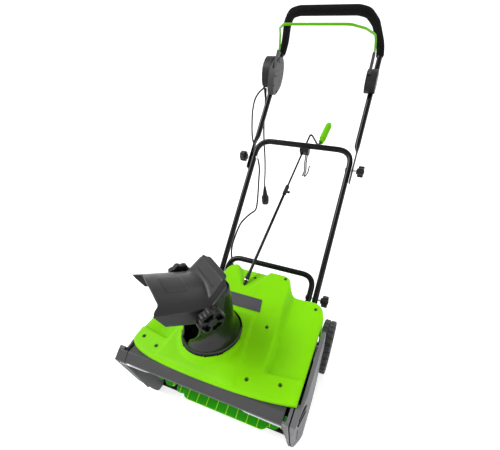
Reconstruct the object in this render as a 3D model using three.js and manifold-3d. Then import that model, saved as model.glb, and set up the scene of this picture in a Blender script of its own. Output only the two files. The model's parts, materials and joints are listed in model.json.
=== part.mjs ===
// A single-stage electric snow thrower on two wheels, in millimetres.
// +X is the machine's right-hand side seen from the front, -Y is the way it drives, +Z is up.
// The geometry is laid out in a machine frame whose y = 0 is near the front lip; the exported group
// is moved back so that its origin is the middle of the footprint, on the ground.
import * as THREE from "three";
import { mergeVertices } from "three/addons/utils/BufferGeometryUtils.js";
import Module from "manifold-3d";

const wasm = await Module();
wasm.setup();

// ---------------------------------------------------------------- driving dimensions
const FOOTPRINT_MIDDLE_Y = 598.45;
const GAP = 0.3; // left between pieces that touch

// auger housing and side plates
const MOUTH_HALF = 247.5;
const WALL_INNER_X = [248, 256];
const WALL_OUTER_X = [269, 280];
const AUGER = { y: 95, z: 112, r: 91, shaftR: 8 };
const HOUSING_R = 108;
const SHEET = 3;
const FRONT_Y = -22;
const LIP_Z = 267;
const PLATE_REAR_Y = 250;

// hood
const HOOD_HALF = 262;
const HOOD_LEFT = 0.94; // the left half is narrower by this
const HOOD_FRONT_Z = 300;
const HOOD_SLOPE = 0.12;
const HOOD_WALL = 4;
const RIDGE_REAR_Y = 404;
const SHOULDER_REAR_Y = 345;
const RIDGE_FRONT_Y = 68;
const RIDGE_HALF = [155, 120]; // at its front and rear
const SHOULDER_DROP = 10;

// discharge chute: its axis, its turn at rest and the height of its ring
const CHUTE = { x: -35, y: 132, z: 317, turnDeg: 33, r: 84 };
const DEFLECTOR_PIVOT = { y: -23, z: 485 };

// wheels and motor
const WHEEL = { y: 347, r: 98, outerX: 299, width: 44 };
const AXLE_R = 8;
const MOTOR = { y: 222, z: 235, r: 44 };
const BELT_X = [-268, -257];

// handle: the lower pivot, the lean from vertical, and distances up the tubes from that pivot
const PIVOT = { y: 440, z: 231 };
const LEAN_DEG = 47;
const TUBE_R = 11;
const TUBE_WALL = 1.6;
const LOWER_HALF = 177;
const MID_HALF = 202;
const UPPER_HALF = 213;
const LOWER_BAR = 82;
const MID_BAR = 600;
const UPPER_PIVOT = 520;
const BOLT_R = 4;
const BAIL_PIVOT = { out: 50, up: 888 }; // out is square to the handle, towards the front

// ---------------------------------------------------------------- materials
const material = (color, roughness, metalness = 0) => new THREE.MeshStandardMaterial({ color, roughness, metalness });
const green = material(0x7fd400, 0.35);
const darkGreen = material(0x3f9a12, 0.45);
const barGrey = material(0x5c5c5c, 0.5);
const plateGrey = material(0x8a8a8a, 0.5);
const blackPlastic = material(0x1c1c1d, 0.45);
const chutePlastic = material(0x3a3a3b, 0.42);
const blackPaint = material(0x0c0c0d, 0.25, 0.3);
const foam = material(0x18181a, 0.9);
const steel = material(0xb4b6b8, 0.3, 1);
const rubber = material(0x1a1a1b, 0.8);
const wheelGrey = material(0x4a4a4b, 0.6);

// ---------------------------------------------------------------- solids
function toSolid(geometry) {
  const bare = geometry.clone();
  for (const name of Object.keys(bare.attributes)) if (name !== "position") bare.deleteAttribute(name);
  const merged = mergeVertices(bare, 1e-4);
  return new wasm.Manifold(
    new wasm.Mesh({
      numProp: 3,
      vertProperties: new Float32Array(merged.attributes.position.array),
      triVerts: new Uint32Array(merged.index.array),
    }),
  );
}

function toGeometry(solid) {
  const mesh = solid.getMesh();
  const positions = new Float32Array(mesh.numVert * 3);
  for (let i = 0; i < mesh.numVert; i++) {
    positions.set(mesh.vertProperties.subarray(i * mesh.numProp, i * mesh.numProp + 3), i * 3);
  }
  const geometry = new THREE.BufferGeometry();
  geometry.setAttribute("position", new THREE.BufferAttribute(positions, 3));
  geometry.setIndex(new THREE.BufferAttribute(new Uint32Array(mesh.triVerts), 1));
  geometry.computeVertexNormals();
  return geometry;
}

const join = (...parts) => toGeometry(parts.map(toSolid).reduce((all, next) => all.add(next)));
const common = (a, b) => toGeometry(toSolid(a).intersect(toSolid(b)));
const cut = (base, ...tools) =>
  toGeometry(tools.map(toSolid).reduce((left, tool) => left.subtract(tool), toSolid(base)));

// ---------------------------------------------------------------- simple geometry
// A box from its lowest to its highest corner.
function box(x0, y0, z0, x1, y1, z1) {
  const geometry = new THREE.BoxGeometry(x1 - x0, y1 - y0, z1 - z0);
  return geometry.translate((x0 + x1) / 2, (y0 + y1) / 2, (z0 + z1) / 2);
}

// A cylinder along X, Y or Z between two stations on that axis.
function rod(axis, from, to, radius, [a, b], sides = 16, radiusTo = radius) {
  const geometry = new THREE.CylinderGeometry(radiusTo, radius, to - from, sides);
  const middle = (from + to) / 2;
  if (axis === "x") return geometry.rotateZ(-Math.PI / 2).translate(middle, a, b);
  if (axis === "y") return geometry.translate(a, middle, b);
  return geometry.rotateX(Math.PI / 2).translate(a, b, middle);
}

// An outline of [x, y] points, with any holes, extruded along +Z.
function slab(points, from, to, holes = [], steps = 1) {
  const shape = new THREE.Shape(points.map(([x, y]) => new THREE.Vector2(x, y)));
  shape.holes = holes.map((hole) => new THREE.Path(hole.map(([x, y]) => new THREE.Vector2(x, y))));
  const geometry = new THREE.ExtrudeGeometry(shape, { depth: to - from, bevelEnabled: false, steps });
  return geometry.translate(0, 0, from);
}

// An outline of [y, z] points extruded along +X.
const sideSlab = (points, fromX, toX, holes = [], steps = 1) =>
  slab(points, fromX, toX, holes, steps).applyMatrix4(
    new THREE.Matrix4().set(0, 0, 1, 0, 1, 0, 0, 0, 0, 1, 0, 0, 0, 0, 0, 1),
  );

// An outline of [x, z] points extruded along +Y, from the near station to the far one.
const frontSlab = (points, fromY, toY, steps = 1) =>
  slab(points, -toY, -fromY, [], steps).applyMatrix4(
    new THREE.Matrix4().set(1, 0, 0, 0, 0, 0, -1, 0, 0, 1, 0, 0, 0, 0, 0, 1),
  );

// Points on an arc, angles in degrees.
function arc(cx, cy, radius, from, to, steps) {
  const points = [];
  for (let i = 0; i <= steps; i++) {
    const angle = THREE.MathUtils.degToRad(from + ((to - from) * i) / steps);
    points.push([cx + radius * Math.cos(angle), cy + radius * Math.sin(angle)]);
  }
  return points;
}

const circle = (radius, sides, cx = 0, cy = 0) => arc(cx, cy, radius, 0, 360 - 360 / sides, sides - 1);

// A body turned about Z from a closed [r, z] profile.
function turned(profile, sides = 32) {
  const points = [...profile, profile[0]].map(([r, z]) => new THREE.Vector2(r, z));
  return new THREE.LatheGeometry(points, sides).rotateX(Math.PI / 2);
}

// A path through corners, each rounded by its radius, with only the points that the bends need.
class BentPath extends THREE.Curve {
  constructor(corners, radius, perBend = 4) {
    super();
    const points = [corners[0].clone()];
    for (let i = 1; i < corners.length - 1; i++) {
      const back = corners[i - 1].clone().sub(corners[i]);
      const ahead = corners[i + 1].clone().sub(corners[i]);
      const half = (Math.PI - back.angleTo(ahead)) / 2;
      const reach = Math.min(radius * Math.tan(half), back.length() * 0.49, ahead.length() * 0.49);
      const start = corners[i].clone().addScaledVector(back.normalize(), reach);
      const end = corners[i].clone().addScaledVector(ahead.normalize(), reach);
      const bend = new THREE.QuadraticBezierCurve3(start, corners[i], end);
      for (let k = 0; k <= perBend; k++) points.push(bend.getPoint(k / perBend));
    }
    points.push(corners[corners.length - 1].clone());
    this.points = points;
  }

  get steps() {
    return this.points.length - 1;
  }

  getPoint(t) {
    return this.points[Math.round(t * this.steps)].clone();
  }

  getPointAt(u) {
    return this.getPoint(u);
  }

  getTangentAt(u) {
    const i = Math.round(u * this.steps);
    const before = this.points[Math.max(i - 1, 0)];
    const after = this.points[Math.min(i + 1, this.steps)];
    return after.clone().sub(before).normalize();
  }
}

// A round tube along a path; a bore makes it hollow with open ends.
function tube(corners, radius, bendRadius, { sides = 10, bore = 0, perBend = 4 } = {}) {
  const path = new BentPath(corners.map((c) => new THREE.Vector3(...c)), bendRadius, perBend);
  const shape = new THREE.Shape(circle(radius, sides).map(([x, y]) => new THREE.Vector2(x, y)));
  if (bore) shape.holes = [new THREE.Path(circle(bore, sides).map(([x, y]) => new THREE.Vector2(x, y)))];
  return new THREE.ExtrudeGeometry(shape, { extrudePath: path, steps: path.steps, curveSegments: sides });
}

// Moves every vertex of a geometry by a function of its position.
function reshape(geometry, move) {
  const position = geometry.getAttribute("position");
  const point = new THREE.Vector3();
  for (let i = 0; i < position.count; i++) {
    point.fromBufferAttribute(position, i);
    move(point);
    position.setXYZ(i, point.x, point.y, point.z);
  }
  geometry.computeVertexNormals();
  return geometry;
}

// ---------------------------------------------------------------- scene groups
const machine = new THREE.Group();
machine.position.y = -FOOTPRINT_MIDDLE_Y;

// Local +Z runs up the tubes, local -Y points out of the handle's plane, towards the front.
const handle = new THREE.Group();
handle.position.set(0, PIVOT.y, PIVOT.z);
handle.rotation.x = -THREE.MathUtils.degToRad(LEAN_DEG);
machine.add(handle);

// Local -Y is the way the chute throws.
const chute = new THREE.Group();
chute.position.set(CHUTE.x, CHUTE.y, 0);
chute.rotation.z = -THREE.MathUtils.degToRad(CHUTE.turnDeg);
machine.add(chute);

function add(name, geometry, look, parent = machine) {
  const mesh = new THREE.Mesh(geometry, look);
  mesh.name = name;
  parent.add(mesh);
  return mesh;
}

const sides = [
  ["left", -1],
  ["right", 1],
];

// Orders a pair of distances from the centre plane as low and high x on one side.
const span = (side, near, far) => (side > 0 ? [near, far] : [-far, -near]);

// ---------------------------------------------------------------- auger housing
const hoodTop = (y) => HOOD_FRONT_Z + HOOD_SLOPE * y;
const wallTop = (y) => 284 + 0.09 * y;

function augerHousing() {
  const { y, z } = AUGER;
  const outer = HOUSING_R + SHEET;
  const profile = [
    [6, 258],
    [6, 255],
    ...arc(y, z, HOUSING_R, 96, -112, 20),
    ...arc(y, z, outer, -112, 96, 20),
  ];
  const shell = sideSlab(profile, -MOUTH_HALF, MOUTH_HALF);
  const throat = rod("z", 120, 330, CHUTE.r - 8, [CHUTE.x, CHUTE.y], 28);
  return cut(shell, throat);
}

// The fixed collar that carries snow from the housing up to the turning chute.
function chuteCollar() {
  const collar = turned([
    [CHUTE.r - 12, 150],
    [CHUTE.r - 8.5, 150],
    [CHUTE.r - 8.5, 296],
    [CHUTE.r - 12, 296],
  ]).translate(CHUTE.x, CHUTE.y, 0);
  const below = sideSlab([...arc(AUGER.y, AUGER.z, HOUSING_R + SHEET + GAP, 0, 345, 46)], -300, 300);
  return cut(collar, below);
}

function clampTo1(value) {
  return THREE.MathUtils.clamp(value, 0, 1);
}

// The plates' outer walls curve inwards in front of this y, most of all near the ground.
const CURVE_Y = 64;
function curveIn(p) {
  if (Math.abs(p.x) < 275) return;
  const low = clampTo1(1 - p.z / 270) ** 0.7;
  const shift = 15 * low * clampTo1((CURVE_Y - p.y) / 44) ** 1.5 + 7 * clampTo1((CURVE_Y - p.y) / 84);
  p.x -= Math.sign(p.x) * shift;
}

function sidePlate(side) {
  const outline = [
    [FRONT_Y, wallTop(FRONT_Y)],
    [FRONT_Y, 262],
    [-6, 120],
    [14, 22],
    [22, 3],
    [28, 0],
    [46, 0],
    [176, 0],
    [222, 34],
    ...arc(WHEEL.y, WHEEL.r, WHEEL.r + 11, 180, 131, 5),
    [PLATE_REAR_Y, wallTop(PLATE_REAR_Y)],
    [40, wallTop(40)],
    [10, wallTop(10)],
  ];
  const body = sideSlab(outline, ...span(side, WALL_INNER_X[0], WALL_OUTER_X[1]));
  const front = reshape(common(body, box(-400, -100, -10, 400, CURVE_Y, 400)), curveIn);
  const rear = common(body, box(-400, CURVE_Y, -10, 400, 400, 400));
  // A tall slot between the two walls holds the drive; it is narrower where the outer wall curves in.
  const slotFloor = [
    [-60, 90],
    [20, 45],
    [150, 42],
    [300, 120],
    [300, 400],
    [-60, 400],
  ];
  const narrow = sideSlab(slotFloor, ...span(side, WALL_INNER_X[1], WALL_INNER_X[1] + 3.5));
  const wide = sideSlab(slotFloor, ...span(side, WALL_INNER_X[1], WALL_OUTER_X[0]));
  const behind = box(-400, 31, 40, 400, 400, 400);
  const bearing = rod("x", ...span(side, 200, 262), 15.3, [AUGER.y, AUGER.z], 20);
  const plate = cut(join(front, rear), narrow, common(wide, behind), bearing);
  if (side > 0) return plate;
  // The left plate's outer wall stays low behind its front corner, under the hood's overhang.
  const lowered = sideSlab(
    [
      [4, 320],
      [22, 258],
      [300, 258],
      [300, 320],
    ],
    -320,
    -256.4,
  );
  return cut(plate, lowered);
}

// The front flange closes the plate's front edge and narrows down to its tip.
function frontFlange(side) {
  const inner = side * 239;
  const outer = side * (WALL_INNER_X[0] + 6);
  const corners = [
    [inner, 283],
    [inner, 256],
    [outer, 60],
    [outer, 283],
  ];
  if (side < 0) corners.reverse();
  // It leans back as the plate's front edge does.
  return reshape(frontSlab(corners, FRONT_Y, FRONT_Y + 6), (p) => {
    p.y += Math.max(0, 262 - p.z) * 0.113;
  });
}

add("auger_housing", augerHousing(), blackPlastic);
add("chute_collar", chuteCollar(), blackPlastic);

for (const [name, side] of sides) {
  const plate = join(sidePlate(side), frontFlange(side));
  const shaftRoom = rod("x", -262, -240, 12, [MOTOR.y, MOTOR.z], 16);
  add(`side_plate_${name}`, side < 0 ? cut(plate, shaftRoom) : plate, plateGrey);
}

// The lip bar is an angled strip with a shelf behind it, between the side plates' front flanges.
function lipBar() {
  const profile = [
    [-20, LIP_Z],
    [-20, LIP_Z - 8],
    [-16, LIP_Z - 8],
    [5.7, LIP_Z - 4],
    [5.7, 279.5],
    [46, 279.5],
    [46, 283],
    [2, 285],
  ];
  return sideSlab(profile, -238.5, 238.5);
}
add("lip_bar", lipBar(), barGrey);

// The replaceable scraper is set into the housing floor's front edge.
add(
  "scraper_bar",
  sideSlab(
    [
      [44, 1],
      [66, 1],
      [66, 4.2],
      [50, 7.5],
      [44, 5],
    ],
    -MOUTH_HALF,
    MOUTH_HALF,
  ),
  blackPlastic,
);

// Gusset braces tie the lip bar to the side plates inside the mouth.
for (const [name, side] of sides) {
  const [x0, x1] = span(side, 205, 238);
  const brace = sideSlab(
    [
      [-12, LIP_Z - 6.5],
      [-12, LIP_Z - 12],
      [5, LIP_Z - 12],
      [5, LIP_Z - 6.5],
    ],
    x0,
    x1,
  );
  add(`lip_gusset_${name}`, brace.translate(0, 0, -2), plateGrey);
}

// ---------------------------------------------------------------- hood
function hoodPlan(inset) {
  const half = HOOD_HALF - inset;
  const front = inset;
  const rear = SHOULDER_REAR_Y - inset;
  const ridgeRear = RIDGE_REAR_Y - inset;
  const ridgeHalf = RIDGE_HALF[1] - inset;
  const right = [
    [0, front],
    [105, front + 2],
    [175, front + 7],
    [225, front + 17],
    [half - 12, front + 27],
    [half, front + 42],
    [half - 6, rear - 40],
    [half - 12, rear - 20],
    [half - 32, rear - 8],
    [half - 60, rear],
    [ridgeHalf + 20, rear + 4],
    [ridgeHalf, ridgeRear - 18],
    [ridgeHalf - 18, ridgeRear],
  ];
  const left = right.slice(1).reverse().map(([x, y]) => [-x * HOOD_LEFT, y]);
  return [...right, ...left];
}

const ridgeHalfAt = (y) =>
  THREE.MathUtils.lerp(RIDGE_HALF[0], RIDGE_HALF[1], (y - RIDGE_FRONT_Y) / (RIDGE_REAR_Y - RIDGE_FRONT_Y));

// The two low shoulders beside the ridge, as a solid to take away above them.
function shoulderCut(side, inset) {
  const plan = [
    [ridgeHalfAt(RIDGE_FRONT_Y) - inset, RIDGE_FRONT_Y - inset],
    [320, RIDGE_FRONT_Y + 18 - inset],
    [320, 460],
    [ridgeHalfAt(460) - inset, 460],
  ].map(([x, y]) => [side * x, y]);
  if (side < 0) plan.reverse();
  // The floor slopes with the hood and lies lower by the drop; the inset is the wall that stays under it.
  return reshape(slab(plan, 0, 100), (p) => {
    const drop = SHOULDER_DROP + (p.y - RIDGE_FRONT_Y) * 0.02;
    p.z = p.z < 50 ? hoodTop(p.y) - drop - inset : 420;
  });
}

function hoodOuter(inset) {
  const plan = slab(hoodPlan(inset), 100, 420);
  const lowestRear = 205;
  const profile = [
    [-40, 288],
    [-40, hoodTop(-40) - inset],
    [420, hoodTop(420) - inset],
    [420, lowestRear],
    [PLATE_REAR_Y + 29, lowestRear],
    [PLATE_REAR_Y + 29, wallTop(PLATE_REAR_Y) + 6],
    [60, wallTop(60) + 1.5],
  ];
  const below = inset ? profile.map(([y, z], i) => (i === 0 || i > 2 ? [y, z - 20] : [y, z])) : profile;
  return common(plan, sideSlab(below, -HOOD_HALF - 20, HOOD_HALF + 20));
}

function hood() {
  let skin = cut(hoodOuter(0), shoulderCut(1, 0), shoulderCut(-1, 0));
  // The raised lip round the chute opening.
  const lip = rod("z", 300, CHUTE.z + 1, CHUTE.r + 10, [CHUTE.x, CHUTE.y], 40, CHUTE.r + 7);
  skin = join(skin, lip);
  const hollow = cut(hoodOuter(HOOD_WALL), shoulderCut(1, HOOD_WALL), shoulderCut(-1, HOOD_WALL));
  const opening = rod("z", 200, 420, CHUTE.r + 3.5, [CHUTE.x, CHUTE.y], 40);
  // The notch in the ridge's rear, where the crank comes in.
  const notch = sideSlab(
    [
      [342, 420],
      [342, 338],
      [368, 332],
      [420, 329],
      [420, 420],
    ],
    -46,
    38,
  );
  const crankHole = rod("z", -40, 60, 9.5, [0, 0], 16).applyQuaternion(CRANK.turn);
  crankHole.translate(...CRANK.foot.toArray());
  const cableHole = rod("y", 330, 420, 4.6, [CABLE_ENTRY[0], CABLE_ENTRY[2]], 12);
  return cut(skin, hollow, opening, notch, crankHole, cableHole);
}

// ---------------------------------------------------------------- crank line
// The crank's axis runs from its foot in the hood's notch to the guide on the middle crossbar.
const CRANK = { foot: new THREE.Vector3(-26, 331, 336), top: new THREE.Vector3(-3, 881, 617) };
CRANK.axis = CRANK.top.clone().sub(CRANK.foot).normalize();
CRANK.turn = new THREE.Quaternion().setFromUnitVectors(new THREE.Vector3(0, 0, 1), CRANK.axis);
const CABLE_ENTRY = [-148, 0, 268];

add("hood", hood(), green);

function badge() {
  const y0 = 234;
  const y1 = 280;
  const plate = slab(
    [
      [-92, y0],
      [72, y0],
      [60, y1],
      [-104, y1],
    ],
    0,
    1.6,
  );
  return reshape(plate, (p) => {
    p.z += hoodTop(p.y) + GAP;
  });
}
add("badge_plate", badge(), barGrey);

// ---------------------------------------------------------------- motor bay and drive
const BAY = { left: -229, right: 240, front: 214, rear: 332, floor: 66 };

function motorBay() {
  const { front, rear, floor } = BAY;
  const profile = (inset) => [
    [front + inset, inset ? 300 : 150],
    [front + 8 + inset, floor + inset],
    [318, floor + inset],
    [368 - inset, 74 + inset],
    [368 - inset, 119],
    [364 - inset, 126 - inset],
    [rear - inset, 126.5 - inset],
    [rear - inset, inset ? 400 : 279],
    ...(inset ? [] : [[rear - 46, 279]]),
  ];
  const plan = (inset) =>
    slab(
      [
        [BAY.left + inset, front - 10],
        [BAY.right - inset, front - 10],
        [BAY.right - inset, 300],
        [216 - inset, 333],
        [216 - inset, 400],
        [-206 + inset, 400],
        [-206 + inset, 333],
        [BAY.left + inset, 300],
      ],
      floor - 10,
      420,
    );
  const outside = common(sideSlab(profile(0), BAY.left, BAY.right), plan(0));
  const inside = common(sideSlab(profile(4), BAY.left, BAY.right), plan(4));
  const axleHole = rod("x", -300, 300, AXLE_R + 0.5, [WHEEL.y, WHEEL.r], 20);
  const clear = sideSlab(arc(AUGER.y, AUGER.z, HOUSING_R + SHEET + 2, 0, 345, 24), -300, 300);
  return cut(outside, inside, axleHole, clear);
}
add("motor_bay", motorBay(), blackPlastic);

function motor() {
  const can = rod("x", -222, -130, MOTOR.r, [MOTOR.y, MOTOR.z], 24);
  const fanEnd = rod("x", -130, -112, MOTOR.r - 8, [MOTOR.y, MOTOR.z], 24);
  const nose = rod("x", -230, -222, 20, [MOTOR.y, MOTOR.z], 20);
  const bore = rod("x", -260, -140, 6.5, [MOTOR.y, MOTOR.z], 16);
  return cut(join(can, fanEnd, nose), bore);
}
add("motor", motor(), steel);

// A saddle under the motor fixes it to the bay floor.
add(
  "motor_mount",
  cut(
    sideSlab(
      [
        [236, 71],
        [300, 71],
        [300, 78],
        [262, 78],
        [262, 210],
        [236, 210],
      ],
      -215,
      -145,
    ),
    rod("x", -240, -120, MOTOR.r + GAP, [MOTOR.y, MOTOR.z], 24),
  ),
  steel,
);

function pulley(center, radius, x0, x1, bore) {
  const wheel = rod("x", x0, x1, radius, center, 28);
  const hub = rod("x", x0, x1 + 0.01, bore + 5, center, 16);
  return cut(join(wheel, hub), rod("x", x0 - 20, x1 + 20, bore, center, 16));
}
const AUGER_PULLEY_R = 60;
const MOTOR_PULLEY_R = 14;

add(
  "auger_pulley",
  pulley([AUGER.y, AUGER.z], AUGER_PULLEY_R, ...BELT_X, AUGER.shaftR + GAP),
  blackPlastic,
);

function motorShaft() {
  const shaft = rod("x", -268.5, -150, 5, [MOTOR.y, MOTOR.z], 16);
  const wheel = rod("x", ...BELT_X, MOTOR_PULLEY_R, [MOTOR.y, MOTOR.z], 20);
  return join(shaft, wheel);
}
add("motor_shaft_pulley", motorShaft(), steel);

// The belt is the band between two loops that wrap both pulleys.
function belt() {
  const dy = MOTOR.y - AUGER.y;
  const dz = MOTOR.z - AUGER.z;
  const distance = Math.hypot(dy, dz);
  const heading = THREE.MathUtils.radToDeg(Math.atan2(dz, dy));
  const loop = (grow) => {
    const big = AUGER_PULLEY_R + grow;
    const small = MOTOR_PULLEY_R + grow;
    const wrap = THREE.MathUtils.radToDeg(Math.acos((big - small) / distance));
    return [
      ...arc(AUGER.y, AUGER.z, big, heading + wrap, heading + 360 - wrap, 22),
      ...arc(MOTOR.y, MOTOR.z, small, heading - wrap, heading + wrap, 8),
    ];
  };
  return sideSlab(loop(3.9), BELT_X[0] + 1, BELT_X[1] - 1, [loop(0.9)]);
}
add("drive_belt", belt(), rubber);

// ---------------------------------------------------------------- auger
function augerRotor() {
  const core = rod("x", -225, 225, 17, [0, 0], 16);
  const r = AUGER.r;
  const blade = [
    [-r, -4],
    [-r * 0.7, -7],
    [-16, -6],
    [16, -6],
    [r * 0.75, -3],
    [r, 4],
    [r * 0.7, 7],
    [16, 6],
    [-16, 6],
    [-r * 0.75, 3],
  ];
  // Two paddles: straight in the middle under the chute, swept back and shorter towards both ends.
  const paddles = reshape(sideSlab(blade, -232, 232, [], 16), (p) => {
    const outboard = clampTo1((Math.abs(p.x - 8) - 145) / 85);
    const angle = THREE.MathUtils.degToRad(17 + 50 * outboard);
    const reach = 1 - 0.09 * outboard;
    const { y, z } = p;
    p.y = reach * (y * Math.cos(angle) - z * Math.sin(angle));
    p.z = reach * (y * Math.sin(angle) + z * Math.cos(angle));
  });
  const bore = rod("x", -300, 300, AUGER.shaftR + GAP, [0, 0], 16);
  return cut(join(core, paddles), bore).translate(0, AUGER.y, AUGER.z);
}
add("auger_rotor", augerRotor(), darkGreen);
add("auger_shaft", rod("x", -268.7, 262, AUGER.shaftR, [AUGER.y, AUGER.z], 16), steel);

for (const [name, side] of sides) {
  const bush = rod("x", ...span(side, 245, 255.7), 15, [AUGER.y, AUGER.z], 20);
  const bore = rod("x", ...span(side, 230, 262), AUGER.shaftR + GAP, [AUGER.y, AUGER.z], 16);
  add(`auger_bearing_${name}`, cut(bush, bore), steel);
}

// ---------------------------------------------------------------- axle and wheels
add("axle", rod("x", -286.5, 286.5, AXLE_R, [WHEEL.y, WHEEL.r], 16), steel);

function wheelHub(side) {
  const inner = WHEEL.outerX - WHEEL.width;
  const rim = turned(
    [
      [74, -20],
      [81, -20],
      [81, 20],
      [74, 20],
    ],
    28,
  );
  const boss = rod("z", -22, 16, 20, [0, 0], 16);
  const spokes = [];
  for (let i = 0; i < 5; i++) {
    spokes.push(box(12, -6, -14, 77, 6, 14).rotateZ((i * 2 * Math.PI) / 5));
  }
  const hub = cut(join(rim, boss, ...spokes), rod("z", -40, 10, AXLE_R + 0.4, [0, 0], 16));
  return hub.rotateY((side * Math.PI) / 2).translate(side * (inner + WHEEL.width / 2), WHEEL.y, WHEEL.r);
}

function tyre(side) {
  const half = WHEEL.width / 2;
  const ring = turned(
    [
      [81.4, -half + 3],
      [90, -half],
      [WHEEL.r - 3, -half],
      [WHEEL.r, -half + 5],
      [WHEEL.r, half - 5],
      [WHEEL.r - 3, half],
      [90, half],
      [81.4, half - 3],
    ],
    40,
  );
  return ring.rotateY(Math.PI / 2).translate(side * (WHEEL.outerX - half), WHEEL.y, WHEEL.r);
}

for (const [name, side] of sides) {
  add(`wheel_${name}`, wheelHub(side), wheelGrey);
  add(`tyre_${name}`, tyre(side), rubber);
}

// ---------------------------------------------------------------- handle tubes
const hollowTube = (corners, bend) => tube(corners, TUBE_R, bend, { bore: TUBE_R - TUBE_WALL, sides: 12 });
const crossBolt = (z, y = 0) => rod("x", -260, 260, BOLT_R + 0.4, [y, z], 12);

function lowerHandle() {
  const foot = -116;
  const corners = [
    [LOWER_HALF, 0, foot],
    [LOWER_HALF, 0, LOWER_BAR],
    [-LOWER_HALF, 0, LOWER_BAR],
    [-LOWER_HALF, 0, foot],
  ];
  return cut(hollowTube(corners, 48), crossBolt(0));
}
add("lower_handle", lowerHandle(), blackPaint, handle);

// A socket on the bay's rear wall holds each foot of the lower handle.
function handleSocket(side) {
  const block = box(side * LOWER_HALF - 19, BAY.rear + GAP, 127, side * LOWER_HALF + 19, BAY.rear + 42, 190);
  const lean = THREE.MathUtils.degToRad(LEAN_DEG);
  const leg = rod("z", -116.5, 60, TUBE_R + GAP, [side * LOWER_HALF, 0], 16);
  leg.rotateX(-lean).translate(0, PIVOT.y, PIVOT.z);
  return cut(block, leg);
}
for (const [name, side] of sides) add(`handle_socket_${name}`, handleSocket(side), blackPlastic);

function midHandle() {
  const corners = [
    [MID_HALF, 0, -26],
    [MID_HALF, 0, MID_BAR],
    [-MID_HALF, 0, MID_BAR],
    [-MID_HALF, 0, -26],
  ];
  return cut(hollowTube(corners, 62), crossBolt(0), crossBolt(UPPER_PIVOT));
}
add("middle_handle", midHandle(), blackPaint, handle);

// The grip loop: the legs turn out of the handle's plane and curve in to a straight bar.
const gripHalf = [
  [UPPER_HALF, 0, 1010],
  [UPPER_HALF - 6, -8, 1060],
  [178, -92, 1068],
  [150, -136, 1062],
  [112, -146, 1060],
];
const mirrored = (points) => points.map(([x, y, z]) => [-x, y, z]);
const FLAT_TOP = 600;

const upperCorners = [[UPPER_HALF, 0, 470], [UPPER_HALF, 0, 560], [UPPER_HALF, 0, 620], ...gripHalf];
const upperPath = [...upperCorners, ...mirrored(upperCorners).reverse()];

function upperHandle() {
  const flattened = reshape(hollowTube(upperPath, 30), (p) => {
    if (p.z > FLAT_TOP) return;
    // Pressed flat beside the middle handle, where the two are bolted together.
    const sign = Math.sign(p.x);
    p.x = sign * (UPPER_HALF + 5.2 + (Math.abs(p.x) - UPPER_HALF) * 0.34);
    p.y *= 1.25;
  });
  return cut(flattened, crossBolt(UPPER_PIVOT));
}
add("upper_handle", upperHandle(), blackPaint, handle);

function gripFoam() {
  const sleeve = tube(upperPath, 16, 30, { bore: TUBE_R + 0.5, sides: 12 });
  return common(sleeve, box(-300, -300, 1016, 300, 300, 1200));
}
add("grip_foam", gripFoam(), foam, handle);

// ---------------------------------------------------------------- clamping knobs
function starOutline(radius, lobes = 7, depth = 0.16) {
  const points = [];
  const count = lobes * 4;
  for (let i = 0; i < count; i++) {
    const angle = (i * 2 * Math.PI) / count;
    const reach = radius * (1 - depth / 2 + (depth / 2) * Math.cos(lobes * angle));
    points.push([reach * Math.cos(angle), reach * Math.sin(angle)]);
  }
  return points;
}

// A star knob with its carriage bolt, along +X from the bolt's head to the knob's face.
function knob(headX, faceX, radius, depth) {
  const grip = sideSlab(starOutline(radius), faceX - depth, faceX);
  const neck = rod("x", faceX - depth - 6, faceX - depth + 1, radius * 0.5, [0, 0], 16);
  const bolt = rod("x", headX, faceX - depth, BOLT_R, [0, 0], 12);
  const head = rod("x", headX - 3, headX, 8, [0, 0], 12);
  return join(grip, neck, bolt, head);
}

for (const [name, side] of sides) {
  const lower = knob(LOWER_HALF - TUBE_R - 0.4, 250, 22, 22);
  const upper = knob(MID_HALF - TUBE_R - 0.4, 262, 22, 22);
  if (side < 0) {
    lower.rotateZ(Math.PI);
    upper.rotateZ(Math.PI);
  }
  add(`lower_knob_${name}`, lower, blackPlastic, handle);
  add(`upper_knob_${name}`, upper.translate(0, 0, UPPER_PIVOT), blackPlastic, handle);
}

// ---------------------------------------------------------------- switch box, bail and lock button
// Outlines here are [local y, local z] in the handle's frame.
const outline = (cy, cz, ry, rz, count = 20) => circle(1, count).map(([a, b]) => [cy + ry * a, cz + rz * b]);
const SWITCH = {
  outer: { x: -248, y: -22, z: 905, depth: 46, tall: 66 },
  inner: { x: -186, y: -22, z: 886, depth: 46, tall: 84 },
};
const LEVER_X = [190.5, 201.2];

function leverRoom(side) {
  const [x0, x1] = span(side, LEVER_X[0] - 1, LEVER_X[1] + 1);
  return sideSlab(
    [
      [-BAIL_PIVOT.out - 14, 876],
      [-BAIL_PIVOT.out + 12, 870],
      [-14, 876],
      [18, 930],
      [18, 1000],
      [-120, 1000],
    ],
    x0,
    x1,
  );
}

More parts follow.
